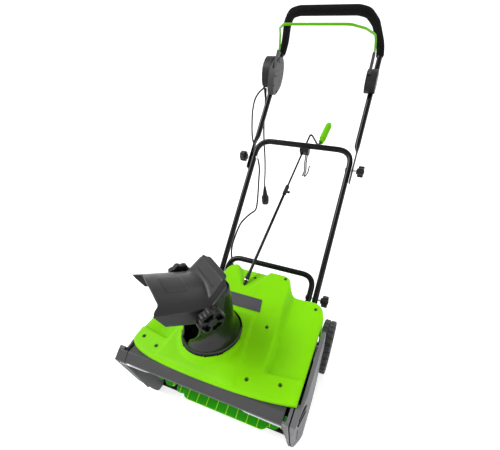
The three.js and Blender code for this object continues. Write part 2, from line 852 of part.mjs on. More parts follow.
function switchHalf({ y, z, depth, tall }, x0, x1) {
  const shell = sideSlab(outline(y, z, depth, tall), x0, x1);
  const tubeRoom = rod("z", 700, 1100, TUBE_R + GAP, [-UPPER_HALF, 0], 16);
  const pin = rod("x", -240, -180, 3.4, [-BAIL_PIVOT.out, BAIL_PIVOT.up], 12);
  const buttonRoom = rod("y", 8, 60, 8.4, [-UPPER_HALF, 0], 16).translate(0, 0, BUTTON_Z);
  return cut(shell, tubeRoom, leverRoom(-1), pin, buttonRoom);
}
const BUTTON_Z = 902;
const { outer: outerHalf, inner: innerHalf } = SWITCH;
add("switch_housing_outer", switchHalf(outerHalf, outerHalf.x, -UPPER_HALF - GAP / 2), blackPlastic, handle);
add("switch_housing_inner", switchHalf(innerHalf, -UPPER_HALF + GAP / 2, innerHalf.x), chutePlastic, handle);

function bailBracket() {
  const body = sideSlab(outline(-24, 884, 36, 44), 186, 228);
  const tubeRoom = rod("z", 700, 1100, TUBE_R + GAP, [UPPER_HALF, 0], 16);
  const pin = rod("x", 180, 240, 3.4, [-BAIL_PIVOT.out, BAIL_PIVOT.up], 12);
  return cut(body, tubeRoom, leverRoom(1), pin);
}
add("bail_bracket", bailBracket(), blackPlastic, handle);

// The lever on each side turns on its own pin and holds one end of the rod.
function bailLever(side) {
  const { out, up } = BAIL_PIVOT;
  const arm = sideSlab(
    [
      [-out - 9, up - 4],
      [-out + 9, up - 6],
      [-out - 5, up + 76],
      [-out - 23, up + 76],
    ],
    ...span(side, LEVER_X[0], LEVER_X[1]),
  );
  const pin = rod("x", ...span(side, 187, 205), 3, [-out, up], 12);
  return cut(join(arm, pin), rod("z", up + 60, up + 200, 4.4, [side * 196, -out - 14], 12));
}
for (const [name, side] of sides) add(`bail_lever_${name}`, bailLever(side), chutePlastic, handle);

function bailRod() {
  const { out, up } = BAIL_PIVOT;
  const right = [
    [196, -out - 14, up + 62],
    [196, -out - 14, up + 94],
    [190, -104, up + 116],
    [160, -172, up + 66],
    [118, -228, up + 18],
  ];
  return tube([...right, ...mirrored(right).reverse()], 4, 16, { sides: 8 });
}
add("bail_rod", bailRod(), green, handle);

function lockButton() {
  return rod("y", 17, 32, 7.9, [-UPPER_HALF, 0], 16).translate(0, 0, BUTTON_Z);
}
add("lock_button", lockButton(), green, handle);

// ---------------------------------------------------------------- crossbar guide and cord hook
// A wire eye under the middle crossbar guides the crank and ends in a hook for the lead.
const machineToHandle = (v) => {
  const point = v.clone().sub(handle.position);
  return point.applyAxisAngle(new THREE.Vector3(1, 0, 0), THREE.MathUtils.degToRad(LEAN_DEG));
};
const GUIDE = machineToHandle(CRANK.top);

function crankGuide() {
  const saddle = sideSlab(
    [
      [-11, 588],
      [2, 574],
      [24, 572],
      [28, 586],
      [15, 602],
      [-4, 586],
    ],
    GUIDE.x - 10,
    GUIDE.x + 28,
  );
  const bar = rod("x", -100, 100, TUBE_R + GAP, [0, MID_BAR], 24);
  const towards = machineToHandle(CRANK.top).sub(machineToHandle(CRANK.foot)).normalize();
  const bore = rod("z", -60, 60, 5.2, [0, 0], 16);
  bore.applyQuaternion(new THREE.Quaternion().setFromUnitVectors(new THREE.Vector3(0, 0, 1), towards));
  bore.translate(GUIDE.x, GUIDE.y, GUIDE.z);
  return cut(saddle, bar, bore);
}
add("crank_guide", crankGuide(), blackPlastic, handle);

function cordHook() {
  const x = GUIDE.x + 19;
  const corners = [
    [x, 6, 573.2],
    [x + 5, 4, 530],
    [x + 16, 2, 492],
    [x + 12, -2, 464],
    [x + 26, -10, 474],
    [x + 30, -16, 508],
  ];
  return tube(corners, 2.6, 12, { sides: 8, perBend: 3 });
}
add("cord_hook", cordHook(), blackPaint, handle);

// ---------------------------------------------------------------- crank
// Crank pieces are made along +Z from the foot and turned onto the crank's axis.
const crank = new THREE.Group();
crank.position.copy(CRANK.foot);
crank.quaternion.copy(CRANK.turn);
machine.add(crank);
const CRANK_LENGTH = CRANK.top.distanceTo(CRANK.foot);
const ROD_SPLIT = 0.7 * CRANK_LENGTH;
const SLEEVE = [ROD_SPLIT - 46, ROD_SPLIT - 5];

function crankLower() {
  const shaft = rod("z", -104, SLEEVE[0] + 12, 5.5, [0, 0], 14);
  const coupling = rod("z", -4, 26, 9, [0, 0], 16);
  return join(shaft, coupling.translate(0, 0, 34));
}
add("crank_lower_rod", crankLower(), blackPaint, crank);

// The pinion at the foot turns the chute's ring.
function crankPinion() {
  const teeth = starOutline(11, 10, 0.22);
  return cut(slab(teeth, -116, -104.3), rod("z", -130, -110, 3, [0, 0], 10));
}
add("crank_pinion", crankPinion(), blackPlastic, crank);

function crankSleeve() {
  const body = rod("z", SLEEVE[0], SLEEVE[1], 8, [0, 0], 14);
  const nut = rod("y", 6, 18, 5, [0, 0], 10).translate(0, 0, SLEEVE[0] + 24);
  const wings = box(-14, 12, SLEEVE[0] + 19, 14, 16, SLEEVE[0] + 29);
  return cut(join(body, nut, wings), rod("z", SLEEVE[0] - 10, SLEEVE[0] + 12.3, 5.8, [0, 0], 14));
}
add("crank_sleeve", crankSleeve(), steel, crank);

// Above the guide the rod bends over into an arm that carries the grip.
const CRANK_APEX = CRANK_LENGTH + 107;
const GRIP_FROM = new THREE.Vector3(56, 7, CRANK_LENGTH + 72);
const GRIP_TO = new THREE.Vector3(62, 0, CRANK_LENGTH + 177);
const GRIP_AXIS = GRIP_TO.clone().sub(GRIP_FROM).normalize();

function crankUpper() {
  const below = GRIP_FROM.clone().addScaledVector(GRIP_AXIS, -8);
  const corners = [
    [0, 0, ROD_SPLIT],
    [0, 0, CRANK_APEX],
    [45, 9, CRANK_LENGTH + 57],
    below.toArray(),
    GRIP_TO.toArray(),
  ];
  return tube(corners, 4, 8, { sides: 8, perBend: 3 });
}
add("crank_upper_rod", crankUpper(), blackPaint, crank);

function crankGrip() {
  const profile = [
    [4.8, 0],
    [9, 0],
    [9, 10],
    [11, 14],
    [11.5, 60],
    [11, 92],
    [7, 105],
    [4.8, 105],
  ];
  const grip = turned(profile, 16);
  grip.applyQuaternion(new THREE.Quaternion().setFromUnitVectors(new THREE.Vector3(0, 0, 1), GRIP_AXIS));
  return grip.translate(...GRIP_FROM.toArray());
}
add("crank_grip", crankGrip(), green, crank);

// ---------------------------------------------------------------- chute and deflector
function chuteBase() {
  const z0 = CHUTE.z;
  // Spigot, ring gear, flange and cone in one moulding.
  const cone = turned(
    [
      [CHUTE.r - 7.5, 262],
      [CHUTE.r, 262],
      [CHUTE.r, 266],
      [CHUTE.r + 8, 266],
      [CHUTE.r + 8, 276],
      [CHUTE.r, 276],
      [CHUTE.r, z0 + 4],
      [CHUTE.r - 4, z0 + 8],
      [CHUTE.r - 13, z0 + 40],
      [CHUTE.r - 19, z0 + 84],
      [CHUTE.r - 23, z0 + 84],
      [CHUTE.r - 17, z0 + 38],
      [CHUTE.r - 7.5, z0 + 2],
    ],
    36,
  );
  const frontOpening = box(-110, -120, z0 + 14, 110, -34, z0 + 120);
  // The neck above the cone is a rounded trough, open towards the discharge.
  const trough = (half, rear) => [
    [half, -34],
    ...arc(half - 24, rear - 24, 24, 0, 90, 4),
    ...arc(-half + 24, rear - 24, 24, 90, 180, 4),
    [-half, -34],
  ];
  const neck = cut(slab(trough(60.5, 58), z0 + 66, 506), slab([...trough(57, 54.5), [0, -60]], 300, 600));
  // It is cut to follow the deflector's underside, low in front and high at the back.
  const above = sideSlab(
    [
      [-80, 700],
      [-80, 470],
      [-44, 470],
      [-30, 494],
      [12, 494],
      [30, 499],
      [90, 499],
      [90, 700],
    ],
    -120,
    120,
  );
  const bolt = rod("x", -120, 120, BOLT_R + 0.4, [DEFLECTOR_PIVOT.y, DEFLECTOR_PIVOT.z], 12);
  return cut(join(cut(cone, frontOpening), neck), above, bolt);
}
add("chute_base", chuteBase(), chutePlastic, chute);

function deflector() {
  const half = 79;
  const wall = 3.5;
  const skirt = 41;
  const section = [
    [-half, -skirt],
    [-half + wall, -skirt],
    [-half + wall, -9],
    [-half + 10, -wall - 1],
    [-40, -wall + 2],
    [40, -wall + 2],
    [half - 10, -wall - 1],
    [half - wall, -9],
    [half - wall, -skirt],
    [half, -skirt],
    [half, -6],
    [half - 8, -1],
    [40, 2],
    [-40, 2],
    [-half + 8, -1],
    [-half, -6],
  ];
  const front = -128;
  const rear = 52;
  const shell = reshape(frontSlab(section, front, rear, 12), (p) => {
    const { y } = p;
    // The roof falls from the mouth to a valley over the pivot and rises again to the tail.
    const slope = y < -8 ? (-8 - y) * 0.43 : (y + 8) * 0.78;
    const tail = THREE.MathUtils.clamp((y + 12) / 64, 0, 1);
    const skirtEdge = p.z < -20;
    p.x *= 1 - (skirtEdge ? 0.17 : 0.21) * tail;
    p.z += 503 + slope - (skirtEdge ? 40 * tail : 0);
    if (skirtEdge) p.y -= 28 * tail;
  });
  const bolt = rod("x", -120, 120, BOLT_R + 0.4, [DEFLECTOR_PIVOT.y, DEFLECTOR_PIVOT.z], 12);
  // The skirt's front corners are chamfered.
  const chamfer = sideSlab(
    [
      [-140, 440],
      [-86, 440],
      [-126, 514],
      [-140, 522],
    ],
    -120,
    120,
  );
  // The roof's front edge is set back between the skirts.
  const mouth = slab(
    [
      [-73, -140],
      [73, -140],
      [66, -116],
      [44, -108],
      [-44, -108],
      [-66, -116],
    ],
    480,
    640,
  );
  return cut(shell, bolt, chamfer, mouth);
}
add("deflector", deflector(), chutePlastic, chute);

for (const [name, side] of sides) {
  const star = side > 0 ? knob(56.4, 112, 33, 22) : knob(56.4, 103, 32, 17);
  if (side < 0) star.rotateZ(Math.PI);
  star.translate(0, DEFLECTOR_PIVOT.y, DEFLECTOR_PIVOT.z);
  add(`deflector_knob_${name}`, star, blackPlastic, chute);
}

// ---------------------------------------------------------------- cables
// The motor cable runs from the switch box, down beside the left leg, into the hood's rear.
// The slack that flexes behind the upper fold belongs to neither handle, so it has no solid.
const CABLE_R = 3.6;
const MOTOR_CABLE = {
  upper: [
    [-240, -14, 838],
    [-266, -4, 819],
    [-282, 8, 780],
    [-277, 14, 725],
    [-262, 18, 664],
    [-247, 21, 622],
    [-235, 22, 600.4],
  ],
  middle: [
    [-191, 22, 520],
    [-175, 22, 484],
    [-163, 22, 433],
    [-150, 20, 380],
    [-140, 20, 331],
    [-139, 20, 300],
    [-158, 20, 277],
    [-176, 20, 251],
    [-190, 21, 221],
    [-198, 22, 153],
    [-195, 22, 111],
  ],
};

// A cord is an even tube through its points, with a step every two and a half diameters.
function cordTube(points, radius) {
  const curve = new THREE.CatmullRomCurve3(points.map((p) => new THREE.Vector3(...p)));
  const shape = new THREE.Shape(circle(radius, 8).map(([x, y]) => new THREE.Vector2(x, y)));
  const steps = Math.ceil(curve.getLength() / (5 * radius));
  return new THREE.ExtrudeGeometry(shape, { extrudePath: curve, steps });
}
const cable = (points) => cordTube(points, CABLE_R);
add("motor_cable_upper", cable(MOTOR_CABLE.upper), rubber, handle);
add("motor_cable_middle", cable(MOTOR_CABLE.middle), rubber, handle);

const lowerCable = [
  [-194.6, 534.2, 288.4],
  [-181, 506, 262],
  [-152, 464, 246],
  [CABLE_ENTRY[0], 400, 256],
  [CABLE_ENTRY[0], 346, CABLE_ENTRY[2]],
];
add("motor_cable_lower", cable(lowerCable), rubber);

// The mains lead hangs straight down from the switch box and ends in a round two-pin plug.
const LEAD = { x: -242, y: 1054, top: 808, relief: 34, bottom: 352 };
function strainRelief() {
  return rod("z", LEAD.top - LEAD.relief, LEAD.top, 5, [LEAD.x, LEAD.y], 12, 7);
}
add("lead_strain_relief", strainRelief(), rubber);

const leadPath = [
  [LEAD.x, LEAD.y, LEAD.top - LEAD.relief - GAP],
  [LEAD.x - 1, LEAD.y, LEAD.top - LEAD.relief - 20],
  [LEAD.x - 9, LEAD.y, 700],
  [LEAD.x - 15, LEAD.y, 600],
  [LEAD.x - 13, LEAD.y, 500],
  [LEAD.x - 16, LEAD.y, 420],
  [LEAD.x - 20, LEAD.y, LEAD.bottom + 20],
  [LEAD.x - 20, LEAD.y, LEAD.bottom],
];
add("mains_lead", cordTube(leadPath, 4), rubber);

function mainsPlug() {
  const top = LEAD.bottom - GAP;
  const body = turned(
    [
      [0, top - 103],
      [18.5, top - 103],
      [20.5, top - 84],
      [20.5, top - 62],
      [15, top - 54],
      [13, top - 30],
      [8, top - 14],
      [6, top],
      [0, top],
    ],
    20,
  );
  const pins = [-9.5, 9.5].map((x) => rod("z", top - 124, top - 100, 2.4, [x, 0], 10));
  return join(body, ...pins).translate(LEAD.x - 20, LEAD.y, 0);
}
add("mains_plug", mainsPlug(), rubber);

export default machine;
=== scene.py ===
import json
import math

import bmesh
import bpy
from mathutils import Matrix, Vector

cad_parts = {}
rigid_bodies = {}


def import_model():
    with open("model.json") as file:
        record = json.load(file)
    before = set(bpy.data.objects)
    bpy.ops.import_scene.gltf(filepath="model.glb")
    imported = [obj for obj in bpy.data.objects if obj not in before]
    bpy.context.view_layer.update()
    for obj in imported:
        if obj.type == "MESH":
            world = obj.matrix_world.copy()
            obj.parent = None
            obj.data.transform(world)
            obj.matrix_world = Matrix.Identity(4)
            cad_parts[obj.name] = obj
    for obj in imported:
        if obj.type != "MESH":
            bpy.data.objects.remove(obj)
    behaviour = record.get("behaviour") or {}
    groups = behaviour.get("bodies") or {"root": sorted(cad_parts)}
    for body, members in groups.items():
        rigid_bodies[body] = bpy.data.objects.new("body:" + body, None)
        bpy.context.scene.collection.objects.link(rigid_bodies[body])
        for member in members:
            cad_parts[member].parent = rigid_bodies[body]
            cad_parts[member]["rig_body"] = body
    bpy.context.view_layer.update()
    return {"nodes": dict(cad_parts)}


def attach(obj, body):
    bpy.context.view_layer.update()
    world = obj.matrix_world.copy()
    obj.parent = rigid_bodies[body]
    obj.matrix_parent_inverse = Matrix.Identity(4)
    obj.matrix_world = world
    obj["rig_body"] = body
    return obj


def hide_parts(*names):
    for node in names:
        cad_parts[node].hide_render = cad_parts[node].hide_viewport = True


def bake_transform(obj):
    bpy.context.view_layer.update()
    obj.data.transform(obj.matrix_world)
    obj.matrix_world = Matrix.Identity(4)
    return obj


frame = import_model()
nodes = frame["nodes"]

# ------------------------------------------------------------------ frames, local lengths in mm
MM = 0.001
MACHINE = Matrix.Scale(MM, 4) @ Matrix.Translation((0, -598.45, 0))
# Local +Z runs up the handle's tubes and local -Y points out of its plane.
HANDLE = MACHINE @ Matrix.Translation((0, 440, 231)) @ Matrix.Rotation(math.radians(-47), 4, "X")
# Local -Y is the way the chute throws.
CHUTE = MACHINE @ Matrix.Translation((-35, 132, 0)) @ Matrix.Rotation(math.radians(-33), 4, "Z")
CRANK_FOOT, CRANK_TOP = Vector((-26, 331, 336)), Vector((-3, 881, 617))
CRANK_LENGTH = (CRANK_TOP - CRANK_FOOT).length


def aim(origin, direction):
    """A matrix that puts local +Z along direction, at origin."""
    turn = Vector((0, 0, 1)).rotation_difference(Vector(direction)).to_matrix().to_4x4()
    return Matrix.Translation(Vector(origin)) @ turn


CRANK = MACHINE @ aim(CRANK_FOOT, CRANK_TOP - CRANK_FOOT)

# ------------------------------------------------------------------ camera
camera = bpy.data.objects.new("camera", bpy.data.cameras.new("camera"))
bpy.context.scene.collection.objects.link(camera)
camera.data.sensor_width = 36
camera.data.lens = 19.36
camera.data.shift_x, camera.data.shift_y = -0.0694, 0.0841
camera.data.clip_end = 30
right, down, ahead = (
    Vector((0.9399, 0.3412, 0.0124)),
    Vector((0.2288, -0.6025, -0.7646)),
    Vector((-0.2534, 0.7215, -0.6444)),
)
axes = Matrix((right, -down, -ahead)).transposed().to_4x4()
camera.matrix_world = Matrix.Translation((0.3221, -0.85225, 0.9715)) @ axes
bpy.context.scene.camera = camera


# ------------------------------------------------------------------ materials
def rgba(code):
    """A linear colour from an sRGB hex code."""
    parts = [int(code[i : i + 2], 16) / 255 for i in (0, 2, 4)]
    return [c / 12.92 if c < 0.04045 else ((c + 0.055) / 1.055) ** 2.4 for c in parts] + [1]


class Look:
    """A procedural material and the record's slot that it stands for."""

    def __init__(self, slot, code, rough, grain=0.5, bump=0.1, mottle=0.05, metal=0.0, specular=0.25,
                 name=None, brushed=None):
        self.slot = slot
        m = self.material = bpy.data.materials.new(name or slot)
        m.use_nodes = True
        n, link = m.node_tree.nodes, m.node_tree.links.new
        shader = n["Principled BSDF"]
        where = n.new("ShaderNodeTexCoord").outputs["Object"]
        if brushed:
            stretch = n.new("ShaderNodeMapping")
            stretch.inputs["Scale"].default_value = brushed
            link(where, stretch.inputs["Vector"])
            where = stretch.outputs["Vector"]

        def noise(scale, detail, distortion=0.0):
            node = n.new("ShaderNodeTexNoise")
            node.inputs["Scale"].default_value = scale
            node.inputs["Detail"].default_value = detail
            node.inputs["Distortion"].default_value = distortion
            link(where, node.inputs["Vector"])
            return node.outputs["Fac"]

        def to_range(value, low_in, high_in, low_out, high_out):
            node = n.new("ShaderNodeMapRange")
            for i, v in enumerate((low_in, high_in, low_out, high_out), 1):
                node.inputs[i].default_value = v
            link(value, node.inputs["Value"])
            return node.outputs["Result"]

        # Colour: broad unevenness of the moulding or paint, and a fine speckle.
        base = rgba(code)
        mix = n.new("ShaderNodeMix")
        mix.data_type = "RGBA"
        mix.inputs[6].default_value = [c * (1 - mottle) for c in base[:3]] + [1]
        mix.inputs[7].default_value = [min(c * (1 + mottle), 1) for c in base[:3]] + [1]
        link(to_range(noise(11, 5, 0.4), 0.32, 0.68, 0, 1), mix.inputs[0])
        speck = n.new("ShaderNodeMix")
        speck.data_type = "RGBA"
        speck.blend_type = "MULTIPLY"
        speck.inputs[0].default_value = 1
        link(mix.outputs[2], speck.inputs[6])
        tint = n.new("ShaderNodeCombineColor")
        shade = to_range(noise(900 / grain * 0.6, 2), 0.3, 0.7, 1 - mottle, 1)
        for i in range(3):
            link(shade, tint.inputs[i])
        link(tint.outputs[0], speck.inputs[7])
        link(speck.outputs[2], shader.inputs["Base Color"])
        # Roughness: handling marks at a hand's scale.
        spread = 0.06
        link(to_range(noise(34, 6, 1.2), 0.3, 0.7, max(rough - spread, 0.03), rough + spread),
             shader.inputs["Roughness"])
        # Bump: the grain of the surface.
        lump = n.new("ShaderNodeBump")
        lump.inputs["Strength"].default_value = bump
        lump.inputs["Distance"].default_value = 0.0004
        link(noise(1000 / grain, 3), lump.inputs["Height"])
        link(lump.outputs["Normal"], shader.inputs["Normal"])
        shader.inputs["Metallic"].default_value = metal
        shader.inputs["Specular IOR Level"].default_value = specular


hood_green = Look("hood_green", "72BE00", 0.46, grain=0.7, bump=0.08, mottle=0.03, specular=0.08)
auger_green = Look("auger_green", "1E8A02", 0.42, grain=0.8, bump=0.12, mottle=0.07, specular=0.08)
# A lighter copy of the auger's green: painted highlight on the raised ribs and the paddles' edge beads.
auger_painted_highlight = Look("auger_green", "83C81C", 0.42, grain=0.8, bump=0.12, mottle=0.05, specular=0.1,
                  name="auger_painted_highlight")
bar_grey = Look("bar_grey", "3C3C3D", 0.46, grain=0.45, bump=0.16, mottle=0.05)
plate_grey = Look("plate_grey", "5A5A5C", 0.5, grain=0.5, bump=0.2, mottle=0.05)
black_plastic = Look("black_plastic", "0E0E0F", 0.42, grain=0.5, bump=0.16, mottle=0.1)
shelf_black = Look("black_plastic", "19191A", 0.45, grain=0.5, bump=0.16, mottle=0.1, name="shelf_black")
badge = Look("badge", "3E3E40", 0.45, grain=0.3, bump=0.1, mottle=0.04)
chute_plastic = Look("chute_plastic", "222223", 0.36, grain=0.55, bump=0.16, mottle=0.06)
neck_plastic = Look("chute_plastic", "0B0B0C", 0.2, grain=0.55, bump=0.1, mottle=0.06, specular=0.35,
                    name="chute_neck_plastic")
knob_plastic = Look("knob_plastic", "0D0D0E", 0.36, grain=0.5, bump=0.18, mottle=0.08)
handle_paint = Look("handle_paint", "030303", 0.22, grain=1.2, bump=0.05, mottle=0.1, specular=0.2)
grip_foam = Look("grip_foam", "0A0A0A", 0.95, grain=1.6, bump=0.6, mottle=0.14, specular=0.15)
switch_plastic = Look("switch_plastic", "343435", 0.48, grain=0.45, bump=0.2, mottle=0.05)
switch_dark = Look("switch_plastic", "151516", 0.46, grain=0.45, bump=0.2, mottle=0.06, name="switch_dark")
bail_paint = Look("bail_paint", "569A00", 0.36, grain=1.0, bump=0.06, mottle=0.06, specular=0.06)
accent_green = Look("accent_green", "60AC00", 0.5, grain=0.6, bump=0.2, mottle=0.05, specular=0.06)
steel = Look("steel", "C4C5C7", 0.3, grain=0.4, bump=0.08, mottle=0.08, metal=1.0, brushed=(1, 1, 5))
wheel_hub = Look("wheel_hub", "2C2C2D", 0.5, grain=0.5, bump=0.15, mottle=0.06)
tyre_rubber = Look("tyre", "3A3A3B", 0.66, grain=0.9, bump=0.4, mottle=0.12)
belt_rubber = Look("belt", "141414", 0.8, grain=0.6, bump=0.4, mottle=0.12)
cable_rubber = Look("cable", "080809", 0.5, grain=0.5, bump=0.15, mottle=0.1)
screw_dark = Look("steel", "1B2412", 0.45, grain=0.4, bump=0.1, mottle=0.1, metal=0.6, name="screw_black")


# ------------------------------------------------------------------ building pieces
def dress(name, bm, look, body, place=MACHINE, cad=(), smooth=35, bevel=0, segments=3, wall=0):
    """Makes a piece from a bmesh in a local frame: it rides on its body and stands for its CAD nodes."""
    bm.transform(place)
    bmesh.ops.remove_doubles(bm, verts=bm.verts, dist=1e-6)
    bmesh.ops.recalc_face_normals(bm, faces=bm.faces)
    data = bpy.data.meshes.new(name)
    bm.to_mesh(data)
    bm.free()
    obj = bpy.data.objects.new(name, data)
    bpy.context.scene.collection.objects.link(obj)
    data.materials.append(look.material)
    data.shade_smooth()
    data.set_sharp_from_angle(angle=math.radians(smooth))
    if wall:
        solid = obj.modifiers.new("wall", "SOLIDIFY")
        solid.thickness, solid.offset = abs(wall) * MM, -1 if wall > 0 else 1
    if bevel:
        edge = obj.modifiers.new("edge", "BEVEL")
        edge.width, edge.segments, edge.limit_method = bevel * MM, segments, "ANGLE"
        edge.angle_limit, edge.harden_normals = math.radians(smooth), True
    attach(obj, body)
    if cad:
        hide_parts(*([cad] if isinstance(cad, str) else cad))
    return obj


def soften(node, look, bevel=1.0, smooth=30, segments=3, name=None, shift=None):
    """A CAD solid's shape with smooth rounds and softened edges; shift may move its corners."""
    bm = bmesh.new()
    bm.from_mesh(nodes[node].data)
    for v in bm.verts:
        if shift:
            v.co = MACHINE @ Vector(shift(*(MACHINE.inverted() @ v.co)))
    bmesh.ops.remove_doubles(bm, verts=bm.verts, dist=2e-6)
    bmesh.ops.dissolve_limit(bm, angle_limit=math.radians(0.5), verts=bm.verts, edges=bm.edges)
    bmesh.ops.dissolve_degenerate(bm, dist=1e-5, edges=bm.edges)
    body = nodes[node]["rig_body"]
    return dress(name or node + "_skin", bm, look, body, Matrix.Identity(4), node, smooth, bevel, segments)


def loft(bm, rings, closed=True, caps=True, loop=False):
    """Quads between rings of points; a ring may be closed, and so may the row of rings."""
    grid = [[bm.verts.new(Vector(p)) for p in ring] for ring in rings]
    count = len(rings[0])
    pairs = list(zip(grid, grid[1:])) + ([(grid[-1], grid[0])] if loop else [])
    for a, b in pairs:
        for i in range(count if closed else count - 1):
            j = (i + 1) % count
            bm.faces.new((a[i], a[j], b[j], b[i]))
    if caps and closed and not loop:
        bm.faces.new(list(reversed(grid[0])))
        bm.faces.new(grid[-1])
    return grid


def around(radius, sides, z=0.0, start=0.0):
    """A ring of points about Z; the radius may be a function of the angle."""
    out = []
    for i in range(sides):
        a = start + 2 * math.pi * i / sides
        r = radius(a) if callable(radius) else radius
        out.append((r * math.cos(a), r * math.sin(a), z))
    return out


def turned(bm, profile, sides=32):
    """A solid turned about Z from (radius, z) pairs, lowest first."""
    return loft(bm, [around(r, sides, z) for r, z in profile])


def hoop(bm, profile, sides=48):
    """A ring turned about Z from a closed (radius, z) profile."""
    rings = []
    for i in range(sides):
        a = 2 * math.pi * i / sides
        rings.append([(r * math.cos(a), r * math.sin(a), z) for r, z in profile])
    loft(bm, rings, loop=True)


def block(bm, low, high):
    """A box between two corners."""
    (x0, y0, z0), (x1, y1, z1) = low, high
    ring = lambda z: [(x0, y0, z), (x1, y0, z), (x1, y1, z), (x0, y1, z)]
    loft(bm, [ring(z0), ring(z1)])


def bent(corners, radius, steps=9):
    """A path through corners, each rounded off."""
    c = [Vector(p) for p in corners]
    path = [c[0]]
    for i in range(1, len(c) - 1):
        back, on = c[i - 1] - c[i], c[i + 1] - c[i]
        half = (math.pi - back.angle(on)) / 2
        reach = min(radius * math.tan(half), back.length * 0.49, on.length * 0.49)
        a, b = c[i] + back.normalized() * reach, c[i] + on.normalized() * reach
        for k in range(steps + 1):
            t = k / steps
            path.append(a * (1 - t) ** 2 + c[i] * 2 * t * (1 - t) + b * t * t)
    return path + [c[-1]]


def flowing(points, per=6):
    """A smooth path through points."""
    c = [Vector(p) for p in points]
    c = [c[0] * 2 - c[1]] + c + [c[-1] * 2 - c[-2]]
    path = []
    for i in range(1, len(c) - 2):
        for k in range(per):
            t = k / per
            a, b, d, e = c[i - 1], c[i], c[i + 1], c[i + 2]
            path.append(0.5 * (2 * b + (d - a) * t + (2 * a - 5 * b + 4 * d - e) * t * t
                               + (3 * b - a - 3 * d + e) * t ** 3))
    return path + [c[-2]]


def sweep(bm, path, radius, sides=20, caps=True):
    """A round bar along a path; the radius may be a function of the share of the path."""
    path = [Vector(p) for p in path]
    last = len(path) - 1
    normal, rings = None, []
    for i, p in enumerate(path):
        t = (path[min(i + 1, last)] - path[max(i - 1, 0)]).normalized()
        normal = t.orthogonal() if normal is None else normal - t * normal.dot(t)
        normal.normalize()
        side = t.cross(normal)
        r = radius(i / last) if callable(radius) else radius
        rings.append([p + (normal * math.cos(a) + side * math.sin(a)) * r
                      for a in (2 * math.pi * k / sides for k in range(sides))])
    loft(bm, rings, caps=caps)


def pipe(name, path, radius, look, body, place, cad=(), sides=20, **how):
    bm = bmesh.new()
    sweep(bm, path, radius, sides)
    return dress(name, bm, look, body, place, cad, **how)


def ease(low, high, value):
    """0 below low, 1 above high, and smooth between."""
    t = min(max((value - low) / (high - low), 0), 1)
    return t * t * (3 - 2 * t)


def along(points, value):
    """The value of a polyline of (in, out) pairs."""
    for (a, p), (b, q) in zip(points, points[1:]):
        if value <= b:
            return p + (q - p) * max(value - a, 0) / (b - a)
    return points[-1][1]


SIDES = (("left", -1), ("right", 1))

# ------------------------------------------------------------------ mains lead
# The lead leaves the switch box straight down and hangs to its plug.
LEAD_X, LEAD_Y = -242, 1054
lead_route = [
    (LEAD_X, 806), (LEAD_X, 790), (LEAD_X, 773.7), (LEAD_X - 1, 754), (LEAD_X - 5, 727), (LEAD_X - 9, 700),
    (LEAD_X - 12.6, 665), (LEAD_X - 14.6, 630), (LEAD_X - 15, 600), (LEAD_X - 14.4, 565), (LEAD_X - 13.4, 530),
    (LEAD_X - 13, 500), (LEAD_X - 13.6, 470), (LEAD_X - 14.6, 445), (LEAD_X - 16, 420), (LEAD_X - 18.4, 395),
    (LEAD_X - 20, 372), (LEAD_X - 20, 360), (LEAD_X - 20, 345),
]
lead_points = [MACHINE @ Vector((x, LEAD_Y, z)) for x, z in lead_route]
lead_curve = bpy.data.curves.new("lead", "CURVE")
lead_curve.dimensions = "3D"
line = lead_curve.splines.new("NURBS")
line.points.add(len(lead_points) - 1)
for spot, p in zip(line.points, lead_points):
    spot.co = (*p, 1)
line.use_endpoint_u, line.order_u, line.resolution_u = True, 4, 6
lead_curve.bevel_depth, lead_curve.bevel_resolution, lead_curve.use_fill_caps = 0.004, 5, True
lead = bpy.data.objects.new("mains_lead_cord", lead_curve)
bpy.context.scene.collection.objects.link(lead)
lead_curve.materials.append(cable_rubber.material)
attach(lead, "top_handle")
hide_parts("mains_lead")

# Ribbed tapered strain relief.
relief = bmesh.new()
relief_profile = []
for i in range(9):
    z, r = 774 + i * 3.9, 5.0 + i * 0.25
    relief_profile += [(r, z), (r, z + 2.3), (r - 0.7, z + 2.5), (r - 0.7, z + 3.7)]
turned(relief, relief_profile, 24)
relief = dress("lead_relief", relief, cable_rubber, "top_handle",
               MACHINE @ Matrix.Translation((LEAD_X, LEAD_Y, 0)), "lead_strain_relief", smooth=50)

# Two-pin plug: a round body with finger ribs and a ribbed boot.
plug_bm = bmesh.new()
PLUG_TOP = 351.7
profile = [(17.5, PLUG_TOP - 103), (18.6, PLUG_TOP - 102), (20.2, PLUG_TOP - 88), (20.5, PLUG_TOP - 84)]
for i in range(4):
    z = PLUG_TOP - 81 + i * 4.6
    profile += [(20.5, z), (19.6, z + 0.6), (19.6, z + 2.2), (20.5, z + 2.8)]
profile += [(20.3, PLUG_TOP - 61), (16.5, PLUG_TOP - 55), (14.4, PLUG_TOP - 50)]
for i in range(8):
    z, r = PLUG_TOP - 47 + i * 5.6, 13.6 - i * 0.95
    profile += [(r, z), (r - 0.3, z + 3.2), (r - 1.3, z + 3.6), (r - 1.4, z + 5.2)]
profile += [(5.6, PLUG_TOP - 1.6), (5.2, PLUG_TOP)]
turned(plug_bm, profile, 40)
plug = dress("plug_body", plug_bm, cable_rubber, "top_handle",
             MACHINE @ Matrix.Translation((LEAD_X - 20, LEAD_Y, 0)), "mains_plug", smooth=50)
pins_bm = bmesh.new()
for x in (-9.5, 9.5):
    sweep(pins_bm, [(x, 0, PLUG_TOP - 110), (x, 0, PLUG_TOP - 102)], 2.4, 16)
    rings = [[(x + a, b, z) for a, b, _ in around(r, 16)] for r, z in
             ((1.2, PLUG_TOP - 124), (2.0, PLUG_TOP - 122.6), (2.3, PLUG_TOP - 120), (2.3, PLUG_TOP - 109))]
    loft(pins_bm, rings)
